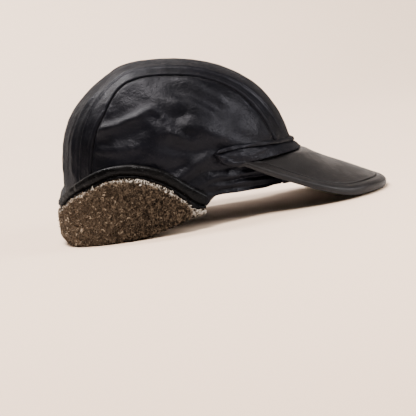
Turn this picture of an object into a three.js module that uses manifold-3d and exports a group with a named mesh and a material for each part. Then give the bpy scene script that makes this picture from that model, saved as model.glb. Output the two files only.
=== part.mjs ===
import * as THREE from 'three';
import Module from 'manifold-3d';

// Leather cap with a stiff peak and a fleece neck and ear flap turned up round the back.
// Sizes in mm. The cap is laid out as worn: +X to the peak, +Z up, -Y the wearer's right.
// At the end it is tipped forward until it stands on the flap's fold and the peak's edge.

const DOME_HEIGHT = 110;
const DOME_FRONT = 111;
const DOME_BACK = 105;
const DOME_HALF_WIDTH = 82;
const SIDE_CURVE_FRONT = 2.05;
const SIDE_CURVE_BACK = 2.5;
const PLAN_CURVE_FRONT = 2.2;
const PLAN_CURVE_BACK = 2.25;
const TOP_CURVE = 2.6;
const SKIRT_TAPER = 9;
const SKIRT_TAPER_DEPTH = 28;
const SKIRT_TAPER_SIDE = 0.6;

const WALL = 2.2;
const GAP = 0.3;
const STRIP_RAISE = 0.8;
const LAYER_START = 1.4;
const INNER_GAP = 0.8;

const BAND_THICK = 1.6;
const BAND_FOOT_FRONT = 4.4;
const WELT_THICK = 1.5;
const WELT_HEIGHT = 3;

const PEAK_THICK = 3.6;
const PEAK_TIP_X = 196;
const PEAK_TIP_EXTRA = 2.2;
const PEAK_WIDEST_X = 112;
const PEAK_HALF_WIDTH = 84;
const PEAK_FRONT_CURVE = 2.15;
const PEAK_ROOT_Z = 28.5;
const PEAK_ROOT_X = 107;
const PEAK_SLOPE = 0.27;
const PEAK_ARCH = 0.0036;
const PEAK_DROOP = 0.0027;
const PEAK_DROOP_X = 150;
const PEAK_END_ANGLE = 64;

const FLAP_LEATHER = 1.5;
const FLEECE_THICK = 7.7;
const FLEECE_INNER = 6.5;
const FLEECE_INNER_HEIGHT = 18;
const FLAP_END_ANGLE = 80;

const STAND_CUT = 0.6;

// Half width of the centre panel and of the arch seam, by angle over the crown from the front.
const ARCH = {
  angle: [0, 20, 30, 45, 60, 75, 90, 105, 118, 125, 132, 140, 150, 165, 180],
  centre: [35, 35, 37.5, 40, 40.5, 41, 39.8, 37.8, 36.6, 37.2, 39.8, 41.8, 43.5, 45.5, 45.5],
  seam: [49, 50.5, 51.5, 51.5, 51, 51.5, 51, 49.5, 48.3, 49.8, 53.4, 56.4, 56.6, 57.2, 58.5],
};

// Heights of the lines round the cap, by angle in plan from the front.
const RIM = {
  angle: [0, 42, 50, 59, 67.5, 72, 75, 77, 79.5, 84, 90, 102, 114, 130, 148, 160, 180],
  z: [-1, -1.8, -3.8, -5.4, -7.1, -7.9, -9.2, -12.8, -18.5, -20.5, -23, -31, -37, -42.5, -47.5, -47, -45.5],
};
const FOLD = {
  angle: [80, 84, 88, 90, 102, 108, 114, 120, 131, 140, 149, 157, 174, 180],
  z: [-23, -25.5, -28, -30.5, -40.4, -44.5, -47, -49, -53.5, -55.8, -58, -57.5, -55.5, -55.5],
};
const FLAP_TOP = {
  angle: [79.7, 84.7, 90.2, 96.1, 100.4, 104.7, 109.1, 115, 119.6, 126, 131.3, 137, 146.5, 157, 168, 180],
  z: [-7, -2.3, 4, 10.5, 14.2, 16.4, 18, 19, 18.3, 16, 13.1, 8.7, 0.4, -8, -16.5, -19],
};
const FLAP_GROOVE = {
  angle: [79.7, 82.7, 87.4, 91.7, 96.1, 100.4, 104.7, 109.1, 113.5, 119.6, 127.7, 133, 137, 145.6, 157, 168, 180],
  z: [-16.5, -15, -9.6, -4.5, 0.2, 3.8, 6.9, 9.1, 10, 9.9, 6.2, 2, -1.2, -6.7, -14.3, -20.6, -22.6],
};
const FLEECE_TOP = {
  angle: [79.7, 84, 87, 89, 91.8, 94.6, 98.8, 101.5, 105.4, 110, 115.7, 121, 127.7, 131.8, 136.3, 141.5, 147.4, 157.6, 168, 180],
  z: [-20.2, -20, -18.5, -14, -10.3, -6.3, -1.2, 1.1, 3.3, 5.3, 6.2, 5.4, 1.8, -1.9, -5.1, -8, -12, -19.5, -25.5, -27.5],
};
const BAND_TOP = {
  angle: [0, 26, 40, 52, 58.4, 66, 70.6, 75.7],
  z: [38, 38.4, 37.5, 36.6, 36, 34.4, 32.1, 26.6],
};
const BAND_FOOT = {
  angle: [0, 20, 36.4, 50.6, 63.9, 70.3, 75.7],
  z: [28.9, 27.8, 25.6, 22.6, 18.2, 16.3, 25.4],
};

const rad = (deg) => (deg * Math.PI) / 180;

// A smooth curve through a table's points that never overshoots them.
function lineOf(at, value) {
  const n = at.length;
  const slope = [];
  for (let i = 0; i < n - 1; i++) {
    slope.push((value[i + 1] - value[i]) / (at[i + 1] - at[i]));
  }
  const tangent = at.map((_, i) => {
    if (i === 0) {
      return slope[0];
    }
    if (i === n - 1) {
      return slope[n - 2];
    }
    const a = slope[i - 1];
    const b = slope[i];
    return a * b <= 0 ? 0 : (2 * a * b) / (a + b);
  });
  return (t) => {
    if (t <= at[0]) {
      return value[0];
    }
    if (t >= at[n - 1]) {
      return value[n - 1];
    }
    let i = 0;
    while (t > at[i + 1]) {
      i++;
    }
    const h = at[i + 1] - at[i];
    const s = (t - at[i]) / h;
    const s2 = s * s;
    const s3 = s2 * s;
    return (
      (2 * s3 - 3 * s2 + 1) * value[i] +
      (s3 - 2 * s2 + s) * h * tangent[i] +
      (3 * s2 - 2 * s3) * value[i + 1] +
      (s3 - s2) * h * tangent[i + 1]
    );
  };
}

const centreHalf = lineOf(ARCH.angle, ARCH.centre);
const seamHalf = lineOf(ARCH.angle, ARCH.seam);
const rimZ = lineOf(RIM.angle, RIM.z);
const foldZ = lineOf(FOLD.angle, FOLD.z);
const flapTopZ = lineOf(FLAP_TOP.angle, FLAP_TOP.z);
const grooveZ = lineOf(FLAP_GROOVE.angle, FLAP_GROOVE.z);
const fleeceTopZ = lineOf(FLEECE_TOP.angle, FLEECE_TOP.z);
const bandTopZ = lineOf(BAND_TOP.angle, BAND_TOP.z);
const bandFootZ = lineOf(BAND_FOOT.angle, BAND_FOOT.z);

// How far out of the dome's own outline a point in the X-Z plane lies: 1 on the outline.
function archReach(x, z) {
  const a = x / (x > 0 ? DOME_FRONT : DOME_BACK);
  const b = z / DOME_HEIGHT;
  const size = Math.hypot(a, b);
  if (size < 1e-9) {
    return 0;
  }
  const blend = 0.5 * (1 + Math.tanh((6 * a) / size));
  const m = SIDE_CURVE_BACK + (SIDE_CURVE_FRONT - SIDE_CURVE_BACK) * blend;
  return (Math.abs(a) ** m + Math.abs(b) ** m) ** (1 / m);
}

function planCurve(x, z) {
  const a = x / (x > 0 ? DOME_FRONT : DOME_BACK);
  const b = Math.max(z, 0) / DOME_HEIGHT;
  const share = (a * a) / (a * a + b * b + 1e-9);
  const side = x > 0 ? PLAN_CURVE_FRONT : PLAN_CURVE_BACK;
  return TOP_CURVE + (side - TOP_CURVE) * share;
}

const taperAt = (z) => (z < 0 ? SKIRT_TAPER * (1 - Math.exp(-((z / SKIRT_TAPER_DEPTH) ** 2))) : 0);

// Below 0 inside the crown's outer face, above 0 outside it.
function crownField(x, y, z) {
  const p = planCurve(x, z);
  if (z >= 0) {
    return archReach(x, z) ** p + (Math.abs(y) / DOME_HALF_WIDTH) ** p - 1;
  }
  const taper = taperAt(z);
  const length = (x > 0 ? DOME_FRONT : DOME_BACK) - taper;
  const width = DOME_HALF_WIDTH - SKIRT_TAPER_SIDE * taper;
  return (Math.abs(x) / length) ** p + (Math.abs(y) / width) ** p - 1;
}

function crownNormal(q) {
  const e = 0.4;
  const normal = new THREE.Vector3(
    crownField(q.x + e, q.y, q.z) - crownField(q.x - e, q.y, q.z),
    crownField(q.x, q.y + e, q.z) - crownField(q.x, q.y - e, q.z),
    crownField(q.x, q.y, q.z + e) - crownField(q.x, q.y, q.z - e),
  );
  return normal.normalize();
}

const offCrown = (q, out) => q.clone().addScaledVector(crownNormal(q), out);

// A point of the crown by plan angle and height, "out" mm off its face.
function wallPoint(angle, z, out) {
  const cx = Math.cos(rad(angle));
  const sy = Math.sin(rad(angle));
  const dx = cx * (cx > 0 ? DOME_FRONT : DOME_BACK);
  const dy = -sy * DOME_HALF_WIDTH;
  let near = 0;
  let far = 1.5;
  for (let i = 0; i < 40; i++) {
    const mid = (near + far) / 2;
    if (crownField(dx * mid, dy * mid, z) < 0) {
      near = mid;
    } else {
      far = mid;
    }
  }
  return offCrown(new THREE.Vector3(dx * near, dy * near, z), out);
}

// The plan angle of a point of the crown, as wallPoint counts it.
function planOf(x, y) {
  return (Math.atan2(Math.abs(y) / DOME_HALF_WIDTH, x / (x > 0 ? DOME_FRONT : DOME_BACK)) * 180) / Math.PI;
}

// A point of the crown by angle over the arch and distance y from the middle.
// Below the dome the angle runs on to the rim: -1 is the front rim, 181 the back one.
function archPoint(angle, y) {
  if (angle < 0 || angle > 180) {
    const front = angle < 0;
    const share = front ? -angle : angle - 180;
    const p = front ? PLAN_CURVE_FRONT : PLAN_CURVE_BACK;
    let x = front ? DOME_FRONT : -DOME_BACK;
    let z = 0;
    for (let i = 0; i < 8; i++) {
      z = rimZ(planOf(x, y)) * share;
      const taper = taperAt(z);
      const width = DOME_HALF_WIDTH - SKIRT_TAPER_SIDE * taper;
      const length = (front ? DOME_FRONT : DOME_BACK) - taper;
      x = (front ? length : -length) * (1 - (Math.abs(y) / width) ** p) ** (1 / p);
    }
    return new THREE.Vector3(x, y, z);
  }
  const c = Math.cos(rad(angle));
  const dx = c * (c > 0 ? DOME_FRONT : DOME_BACK);
  const dz = Math.sin(rad(angle)) * DOME_HEIGHT;
  const p = planCurve(dx, dz);
  const reach = (1 - (Math.abs(y) / DOME_HALF_WIDTH) ** p) ** (1 / p) / archReach(dx, dz);
  return new THREE.Vector3(dx * reach, y, dz * reach);
}

// A point of the right side of the crown straight out from (x, z) in the X-Z plane.
function sidePoint(x, z) {
  const p = planCurve(x, z);
  const taper = taperAt(z);
  const length = (x > 0 ? DOME_FRONT : DOME_BACK) - taper;
  const reach = z >= 0 ? archReach(x, z) : Math.abs(x) / length;
  const width = DOME_HALF_WIDTH - SKIRT_TAPER_SIDE * taper;
  return new THREE.Vector3(x, -width * (1 - Math.min(reach, 1) ** p) ** (1 / p), z);
}

// One closed body between two faces of a sheet, given as equal grids of points.
function slab(outer, inner) {
  const rows = outer.length;
  const cols = outer[0].length;
  const point = [];
  for (const face of [outer, inner]) {
    for (const row of face) {
      for (const q of row) {
        point.push(q.x, q.y, q.z);
      }
    }
  }
  const back = rows * cols;
  const at = (r, c) => r * cols + c;
  const index = [];
  const quad = (a, b, c, d) => index.push(a, b, c, a, c, d);
  for (let r = 0; r < rows - 1; r++) {
    for (let c = 0; c < cols - 1; c++) {
      quad(at(r, c), at(r, c + 1), at(r + 1, c + 1), at(r + 1, c));
      quad(back + at(r, c), back + at(r + 1, c), back + at(r + 1, c + 1), back + at(r, c + 1));
    }
  }
  for (let c = 0; c < cols - 1; c++) {
    quad(at(0, c + 1), at(0, c), back + at(0, c), back + at(0, c + 1));
    quad(at(rows - 1, c), at(rows - 1, c + 1), back + at(rows - 1, c + 1), back + at(rows - 1, c));
  }
  for (let r = 0; r < rows - 1; r++) {
    quad(at(r, 0), at(r + 1, 0), back + at(r + 1, 0), back + at(r, 0));
    quad(at(r + 1, cols - 1), at(r, cols - 1), back + at(r, cols - 1), back + at(r + 1, cols - 1));
  }
  let volume = 0;
  for (let i = 0; i < index.length; i += 3) {
    const [a, b, c] = [index[i] * 3, index[i + 1] * 3, index[i + 2] * 3];
    volume += point[a] * (point[b + 1] * point[c + 2] - point[b + 2] * point[c + 1]);
    volume += point[a + 1] * (point[b + 2] * point[c] - point[b] * point[c + 2]);
    volume += point[a + 2] * (point[b] * point[c + 1] - point[b + 1] * point[c]);
  }
  if (volume < 0) {
    for (let i = 0; i < index.length; i += 3) {
      [index[i + 1], index[i + 2]] = [index[i + 2], index[i + 1]];
    }
  }
  const geometry = new THREE.BufferGeometry();
  geometry.setAttribute('position', new THREE.Float32BufferAttribute(point, 3));
  geometry.setIndex(index);
  return geometry;
}

const steps = (from, to, count) => Array.from({ length: count + 1 }, (_, i) => from + ((to - from) * i) / count);

// Angles over the arch: the front rim, the dome, then down the back to its rim.
const ARCH_STOPS = [-1, ...steps(0, 180, 28), 180.25, 180.5, 180.75, 181];

function crownCentre() {
  const outer = [];
  const inner = [];
  for (const angle of ARCH_STOPS) {
    const half = centreHalf(angle) - GAP / 2;
    const row = steps(-half, half, 8).map((y) => archPoint(angle, y));
    outer.push(row);
    inner.push(row.map((q) => offCrown(q, -WALL)));
  }
  return slab(outer, inner);
}

function seamStrip(side) {
  const outer = [];
  const inner = [];
  const profile = [0.35, 0.9, 1, 0.9, 0.35];
  for (const angle of ARCH_STOPS) {
    const from = centreHalf(angle) + GAP / 2;
    const to = seamHalf(angle) - GAP / 2;
    const row = steps(from, to, 4).map((y) => archPoint(angle, side * y));
    outer.push(row.map((q, i) => offCrown(q, STRIP_RAISE * profile[i])));
    inner.push(row.map((q) => offCrown(q, -WALL)));
  }
  return slab(outer, inner);
}

// The side panel fills the arch seam down to the rim, as upright rows from rim to seam.
function crownSide(side) {
  const outer = [];
  const inner = [];
  const stops = ARCH_STOPS.slice(1, -1);
  const frontCorner = archPoint(-1, seamHalf(0) + GAP / 2);
  const backCorner = archPoint(181, seamHalf(180) + GAP / 2);
  const from = planOf(frontCorner.x, frontCorner.y) + 1.3;
  const to = planOf(backCorner.x, backCorner.y) - 1.3;
  const plans = steps(from, to, stops.length - 1);
  for (let i = 0; i < stops.length; i++) {
    const top = archPoint(stops[i], -(seamHalf(stops[i]) + GAP / 2));
    const foot = wallPoint(plans[i], rimZ(plans[i]), 0);
    const row = steps(0, 1, 9).map((s) => {
      const q = sidePoint(foot.x + (top.x - foot.x) * s, foot.z + (top.z - foot.z) * s);
      q.y *= -side;
      return q;
    });
    outer.push(row);
    inner.push(row.map((q) => offCrown(q, -WALL)));
  }
  return slab(outer, inner);
}

// Sheets that lie over the crown: a profile of (out, height) pairs at each plan angle.
function wrap(angles, profile) {
  const outer = [];
  const inner = [];
  for (const angle of angles) {
    const turn = Math.min(angle, 360 - angle);
    const side = angle <= 180 ? 1 : -1;
    const place = ([out, z]) => {
      const q = wallPoint(turn, z, out);
      q.y *= side;
      return q;
    };
    const shape = profile(turn);
    outer.push(shape.outer.map(place));
    inner.push(shape.inner.map(place));
  }
  return slab(outer, inner);
}

function bandShape(angle) {
  const top = bandTopZ(angle);
  const foot = bandFootZ(angle);
  const tall = top - foot;
  const front = Math.max(0, Math.cos(rad(angle))) ** 2;
  const swell = BAND_FOOT_FRONT * front;
  const base = LAYER_START;
  const face = base + BAND_THICK;
  const welt = Math.min(WELT_HEIGHT, tall * 0.3);
  return {
    outer: [
      [face + swell - 0.5, foot],
      [face + swell, foot + 0.08 * tall],
      [face + swell * 0.55, foot + 0.4 * tall],
      [face + swell * 0.1, top - welt - 0.6],
      [face + WELT_THICK * 0.8, top - welt * 0.8],
      [face + WELT_THICK, top - welt * 0.4],
      [face + WELT_THICK * 0.4, top],
    ],
    inner: [
      [base, foot],
      [base, foot + 0.08 * tall],
      [base, foot + 0.4 * tall],
      [base, top - welt - 0.6],
      [base, top - welt * 0.8],
      [base, top - welt * 0.4],
      [base, top],
    ],
  };
}

function frontBand() {
  const angles = [];
  for (const angle of [0, 8, 16, 24, 32, 40, 47, 54, 60, 65, 69, 71.5, 73.6, 75.4]) {
    angles.push(angle);
    if (angle > 0) {
      angles.unshift(-angle);
    }
  }
  const outer = [];
  const inner = [];
  for (const angle of angles) {
    const shape = bandShape(Math.abs(angle));
    const place = ([out, z]) => {
      const q = wallPoint(Math.abs(angle), z, out);
      q.y *= angle < 0 ? -1 : 1;
      return q;
    };
    outer.push(shape.outer.map(place));
    inner.push(shape.inner.map(place));
  }
  return slab(outer, inner);
}

function peakZ(x, y) {
  const past = Math.max(0, x - PEAK_DROOP_X);
  return PEAK_ROOT_Z - PEAK_SLOPE * (x - PEAK_ROOT_X) - PEAK_ARCH * y * y - PEAK_DROOP * past * past;
}

// The peak's edge in plan, from the right corner (0) over the tip (0.5) to the left (1).
function peakEdge(t) {
  const near = t <= 0.5 ? t * 2 : (1 - t) * 2;
  const side = t <= 0.5 ? -1 : 1;
  const corner = wallPoint(PEAK_END_ANGLE, bandFootZ(PEAK_END_ANGLE), LAYER_START + 2.5);
  const shift = 0.34;
  if (near < shift) {
    const f = near / shift;
    const width = -corner.y + (PEAK_HALF_WIDTH + corner.y) * (1 - (1 - f) ** 2);
    return new THREE.Vector2(corner.x + (PEAK_WIDEST_X - corner.x) * f, side * width);
  }
  const a = rad(90 * ((near - shift) / (1 - shift)));
  const m = 2 / PEAK_FRONT_CURVE;
  return new THREE.Vector2(
    PEAK_WIDEST_X + (PEAK_TIP_X - PEAK_WIDEST_X) * Math.sin(a) ** m,
    side * PEAK_HALF_WIDTH * Math.cos(a) ** m,
  );
}

// Rows of the peak: distance in from its edge, and the height of each face there.
const PEAK_ROWS = {
  inset: [0, 0.5, 1.8, 4.2, 7, 8.2, 8.8, 9.4, 10.6, 14],
  top: [-1.7, -0.5, 0.5, 0.8, 0.3, -0.8, -0.9, -0.5, 0, 0],
  under: [-2.1, -3.4, -4.2, -4.3, -4, -3.7, -3.6, -3.6, -3.6, -3.6],
};

function peak() {
  const outer = [];
  const inner = [];
  for (const t of steps(0, 1, 30)) {
    const ease = t - 0.045 * Math.sin(4 * Math.PI * t);
    const edge = peakEdge(ease);
    const turn = PEAK_END_ANGLE * (1 - 2 * t);
    const side = turn >= 0 ? 1 : -1;
    const bend = Math.abs(turn);
    const drop = 2 * GAP;
    const root = wallPoint(bend, bandFootZ(bend) - drop, LAYER_START);
    root.y *= side;
    const run = new THREE.Vector2(root.x - edge.x, root.y - edge.y);
    const length = run.length();
    const fit = Math.min(1, (0.8 * length) / PEAK_ROWS.inset[9]);
    const rootUnder = wallPoint(bend, bandFootZ(bend) - drop - PEAK_THICK * (0.55 + 0.45 * fit), LAYER_START);
    rootUnder.y *= side;
    const lift = root.z - peakZ(root.x, root.y);
    const short = Math.exp(-((length / 14) ** 2));
    const extra = PEAK_TIP_EXTRA * THREE.MathUtils.smoothstep(edge.x, 120, 180);
    const top = [];
    const under = [];
    const lay = (distance, high, low) => {
      const f = distance / length;
      const x = edge.x + run.x * f;
      const y = edge.y + run.y * f;
      const z = peakZ(x, y) + lift * (short + (1 - short) * f ** 3);
      top.push(new THREE.Vector3(x, y, z + high));
      under.push(new THREE.Vector3(x, y, z + low * (0.55 + 0.45 * fit) - extra * (1 - f) ** 2));
    };
    PEAK_ROWS.inset.forEach((d, i) => {
      const high = PEAK_ROWS.top[i];
      lay(d * fit, high > 0 ? high * fit : high, PEAK_ROWS.under[i]);
    });
    const last = PEAK_ROWS.inset[9] * fit;
    lay(last + (length - last) * 0.35, 0, -PEAK_THICK);
    lay(last + (length - last) * 0.7, 0, -PEAK_THICK);
    top.push(root);
    under.push(rootUnder);
    outer.push(top);
    inner.push(under);
  }
  return slab(outer, inner);
}

function flapAngles(from, count) {
  return steps(from, 360 - from, count);
}

function flapLeather() {
  const base = LAYER_START;
  const face = base + FLAP_LEATHER;
  return wrap(flapAngles(FLAP_END_ANGLE, 42), (angle) => {
    const low = rimZ(angle);
    const high = grooveZ(angle) - 0.2;
    const heights = steps(low, high, 5);
    return { outer: heights.map((z) => [face, z]), inner: heights.map((z) => [base, z]) };
  });
}

function flapBinding() {
  const base = LAYER_START;
  const lipBack = base + FLAP_LEATHER + GAP;
  return wrap(flapAngles(FLAP_END_ANGLE, 42), (angle) => {
    const top = flapTopZ(angle);
    const groove = grooveZ(angle);
    const lip = fleeceTopZ(angle) + 3 * GAP;
    const tall = top - groove;
    const back = 1.6 * THREE.MathUtils.smoothstep(angle, 140, 170);
    return {
      outer: [
        [lipBack + back + 1.2, lip],
        [lipBack + back + 1.5, (lip + groove) / 2],
        [lipBack + back + 0.7, groove],
        [lipBack + back + 2, groove + 0.15 * tall],
        [lipBack + back + 3, groove + 0.5 * tall],
        [lipBack + back + 2, groove + 0.85 * tall],
        [lipBack + back + 0.2, top],
      ],
      inner: [
        [lipBack, lip],
        [lipBack, (lip + groove) / 2],
        [lipBack, groove],
        [base + 0.3, groove + 0.15 * tall],
        [base, groove + 0.5 * tall],
        [base, groove + 0.85 * tall],
        [base + 0.9, top - 0.3],
      ],
    };
  });
}

// The fleece hooks under the rim: outer leg, fold, and a short leg inside the cap.
function flapFleece() {
  const near = LAYER_START + FLAP_LEATHER + INNER_GAP;
  const inside = -WALL - INNER_GAP;
  return wrap(flapAngles(FLAP_END_ANGLE, 42), (angle) => {
    const open = Math.min(1, (angle - FLAP_END_ANGLE) / 10);
    const full = 0.38 + 0.62 * Math.sin(rad(90 * open));
    const thick = FLEECE_THICK * full - 0.9 * THREE.MathUtils.smoothstep(angle, 140, 170);
    const inThick = FLEECE_INNER * full;
    const top = fleeceTopZ(angle);
    const fold = foldZ(angle);
    const rim = Math.min(rimZ(angle), top - 1);
    const tall = top - fold;
    const leg = top - rim;
    const high = rim + FLEECE_INNER_HEIGHT * full;
    const deep = Math.min(rim - INNER_GAP, fold + 6);
    const middle = (near + inside) / 2;
    const shift = Math.min(4, tall * 0.3);
    return {
      outer: [
        [near + thick * 0.6, top],
        [near + thick * 0.93, top - shift * 0.45],
        [near + thick, top - shift],
        [near + thick, top - tall * 0.55],
        [near + thick * 0.93, fold + tall * 0.22],
        [near + thick * 0.66, fold + tall * 0.07],
        [near + thick * 0.15, fold],
        [middle - inThick * 0.3, fold + 0.8],
        [inside - inThick * 0.75, fold + 3.2],
        [inside - inThick, rim + 3],
        [inside - inThick, high - 4 * full],
        [inside - inThick * 0.5, high],
      ],
      inner: [
        [near, top],
        [near, top - leg * 0.12],
        [near, top - leg * 0.34],
        [near, top - leg * 0.56],
        [near, top - leg * 0.78],
        [near, rim],
        [near - 1.2, deep - 0.5],
        [middle, deep - 0.7],
        [inside + 0.8, deep - 0.4],
        [inside, rim + 3],
        [inside, high - 4 * full],
        [inside, high],
      ],
    };
  });
}

const wasm = await Module();
wasm.setup();
const { Manifold, Mesh } = wasm;

function toManifold(geometry) {
  const mesh = new Mesh({
    numProp: 3,
    vertProperties: new Float32Array(geometry.getAttribute('position').array),
    triVerts: new Uint32Array(geometry.getIndex().array),
  });
  return new Manifold(mesh);
}

function fromManifold(solid) {
  const mesh = solid.getMesh();
  const geometry = new THREE.BufferGeometry();
  const count = mesh.vertProperties.length / mesh.numProp;
  const point = new Float32Array(count * 3);
  for (let i = 0; i < count; i++) {
    for (let k = 0; k < 3; k++) {
      point[i * 3 + k] = mesh.vertProperties[i * mesh.numProp + k];
    }
  }
  geometry.setAttribute('position', new THREE.BufferAttribute(point, 3));
  geometry.setIndex([...mesh.triVerts]);
  return geometry;
}

const shapes = {
  crown_centre: crownCentre(),
  crown_side_right: crownSide(-1),
  crown_side_left: crownSide(1),
  seam_strip_right: seamStrip(-1),
  seam_strip_left: seamStrip(1),
  front_band: frontBand(),
  peak: peak(),
  flap_leather: flapLeather(),
  flap_binding: flapBinding(),
  flap_fleece: flapFleece(),
};

// Tip forward until the fold and the peak's edge are level, then set both on the ground.
const lowest = (geometry) => {
  geometry.computeBoundingBox();
  return geometry.boundingBox.min.z;
};
let tipLow = 0;
let tipHigh = 25;
for (let i = 0; i < 40; i++) {
  const tip = (tipLow + tipHigh) / 2;
  const peakLow = lowest(shapes.peak.clone().rotateY(rad(tip)));
  const foldLow = lowest(shapes.flap_fleece.clone().rotateY(rad(tip)));
  if (peakLow > foldLow) {
    tipLow = tip;
  } else {
    tipHigh = tip;
  }
}
const all = new THREE.Box3();
for (const geometry of Object.values(shapes)) {
  geometry.rotateY(rad(tipLow));
  geometry.computeBoundingBox();
  all.union(geometry.boundingBox);
}
const shift = new THREE.Vector3(-(all.min.x + all.max.x) / 2, 0, -all.min.z - STAND_CUT);
for (const geometry of Object.values(shapes)) {
  geometry.translate(shift.x, shift.y, shift.z);
}
for (const name of ['peak', 'flap_fleece']) {
  shapes[name] = fromManifold(toManifold(shapes[name]).trimByPlane([0, 0, 1], 0));
}

const LEATHER = { color: 0x2a282c, roughness: 0.5 };
const looks = {
  peak: { color: 0x3a3638, roughness: 0.42 },
  flap_binding: { color: 0x1c1817, roughness: 0.45 },
  flap_fleece: { color: 0x5a3f2c, roughness: 0.95 },
};

const group = new THREE.Group();
group.name = 'sheepskin_cap';
for (const [name, geometry] of Object.entries(shapes)) {
  geometry.computeVertexNormals();
  const look = looks[name] ?? LEATHER;
  const mesh = new THREE.Mesh(geometry, new THREE.MeshStandardMaterial(look));
  mesh.name = name;
  group.add(mesh);
}

export default group;
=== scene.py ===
import math
import bpy
import numpy as np
from mathutils import Matrix, Vector


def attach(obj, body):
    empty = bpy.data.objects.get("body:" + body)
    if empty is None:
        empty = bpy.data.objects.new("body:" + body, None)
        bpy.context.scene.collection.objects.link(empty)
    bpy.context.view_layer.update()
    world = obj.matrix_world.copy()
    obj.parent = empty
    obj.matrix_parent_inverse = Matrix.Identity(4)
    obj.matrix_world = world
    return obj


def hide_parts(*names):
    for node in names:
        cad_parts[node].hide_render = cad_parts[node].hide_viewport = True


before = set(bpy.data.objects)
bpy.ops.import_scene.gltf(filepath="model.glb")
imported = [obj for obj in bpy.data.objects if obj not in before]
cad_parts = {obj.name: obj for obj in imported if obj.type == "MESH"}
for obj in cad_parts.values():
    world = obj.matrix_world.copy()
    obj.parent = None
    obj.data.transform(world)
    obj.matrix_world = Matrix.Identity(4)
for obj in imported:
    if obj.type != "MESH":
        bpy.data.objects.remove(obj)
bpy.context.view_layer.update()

print("frame loaded:", sorted(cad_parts))

# The cap's form as worn, in mm: x to the peak, z up, -y the wearer's right.
# rest() tips it onto the floor and turns mm into metres.
form = {
    "height": 110, "front": 111, "back": 105, "halfWidth": 82,
    "sideCurveFront": 2.05, "sideCurveBack": 2.5, "topCurve": 2.6, "curveBlend": 6,
    "planCurveFront": 2.2, "planCurveBack": 2.25,
    "taper": 9, "taperDepth": 28, "taperSide": 0.6,
    "tip": 10.232671, "moveX": -39.3912, "moveZ": 40.7975, "lowest": 0.0002,
}
archTable = {
    "angle": [0, 20, 30, 45, 60, 75, 90, 105, 118, 125, 132, 140, 150, 165, 180],
    "centre": [35, 35, 37.5, 40, 40.5, 41, 39.8, 37.8, 36.6, 37.2, 39.8, 41.8, 43.5, 45.5, 45.5],
    "seam": [49, 50.5, 51.5, 51.5, 51, 51.5, 51, 49.5, 48.3, 49.8, 53.4, 56.4, 56.6, 57.2, 58.5],
}
# heights of the lines round the cap, by angle in plan from the front
ringTable = {
    "rim": ([0, 42, 50, 59, 67.5, 72, 75, 77, 79.5, 84, 90, 102, 114, 130, 148, 160, 180],
            [-1, -1.8, -3.8, -5.4, -7.1, -7.9, -9.2, -12.8, -18.5, -20.5, -23, -31, -37, -42.5, -47.5, -47,
             -45.5]),
    "fold": ([80, 84, 88, 90, 102, 108, 114, 120, 131, 140, 149, 157, 174, 180],
             [-23, -25.5, -28, -30.5, -40.4, -44.5, -47, -49, -53.5, -55.8, -58, -57.5, -55.5, -55.5]),
    "flapTop": ([79.7, 84.7, 90.2, 96.1, 100.4, 104.7, 109.1, 115, 119.6, 126, 131.3, 137, 146.5, 157,
                 168, 180],
                [-7, -2.3, 4, 10.5, 14.2, 16.4, 18, 19, 18.3, 16, 13.1, 8.7, 0.4, -8, -16.5, -19]),
    "groove": ([79.7, 82.7, 87.4, 91.7, 96.1, 100.4, 104.7, 109.1, 113.5, 119.6, 127.7, 133, 137, 145.6, 157,
                168, 180],
               [-16.5, -15, -9.6, -4.5, 0.2, 3.8, 6.9, 9.1, 10, 9.9, 6.2, 2, -1.2, -6.7, -14.3, -20.6,
                -22.6]),
    "fleeceTop": ([79.7, 84, 87, 89, 91.8, 94.6, 98.8, 101.5, 105.4, 110, 115.7, 121, 127.7, 131.8, 136.3,
                   141.5, 147.4, 157.6, 168, 180],
                  [-20.2, -20, -18.5, -14, -10.3, -6.3, -1.2, 1.1, 3.3, 5.3, 6.2, 5.4, 1.8, -1.9, -5.1, -8,
                   -12, -19.5, -25.5, -27.5]),
    "bandTop": ([0, 26, 40, 52, 58.4, 66, 70.6, 73.5, 75, 75.7],
                [37.4, 38.2, 37.5, 36.6, 36, 34.4, 32.6, 31, 29, 26.8]),
    "bandFoot": ([0, 20, 36.4, 50.6, 62, 67, 69.5, 72, 74, 75.2, 75.7],
                 [28.4, 27.4, 25.6, 22.5, 18, 15.9, 16.4, 18.8, 22, 24.8, 26.2]),
}
tiny = 1e-9  # keeps a division by nothing away


def curveThrough(at, values, t):
    # smooth curve through a table's points, never past them
    at, values, t = np.asarray(at, float), np.asarray(values, float), np.asarray(t, float)
    step = np.diff(at)
    slope = np.diff(values) / step
    tangent = np.concatenate([slope[:1], np.zeros(len(at) - 2), slope[-1:]])
    before, after = slope[:-1], slope[1:]
    same = before * after > 0
    tangent[1:-1][same] = 2 * before[same] * after[same] / (before[same] + after[same])
    t = np.clip(t, at[0], at[-1])
    i = np.clip(np.searchsorted(at, t, side="right") - 1, 0, len(at) - 2)
    s = (t - at[i]) / step[i]
    return ((2 * s ** 3 - 3 * s ** 2 + 1) * values[i] + (s ** 3 - 2 * s ** 2 + s) * step[i] * tangent[i]
            + (3 * s ** 2 - 2 * s ** 3) * values[i + 1] + (s ** 3 - s ** 2) * step[i] * tangent[i + 1])


def ring(line, angle):
    return curveThrough(*ringTable[line], angle)


def smoothStep(low, high, t):
    s = np.clip((np.asarray(t, float) - low) / (high - low), 0, 1)
    return s * s * (3 - 2 * s)


def bell(distance, width):
    return np.exp(-(distance / width) ** 2)


def runOf(line):
    # length along a line up to each of its points
    return np.concatenate([[0], np.cumsum(np.linalg.norm(np.diff(line, axis=0), axis=1))])


def halfLength(x):
    return np.where(x > 0, form["front"], form["back"])


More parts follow.
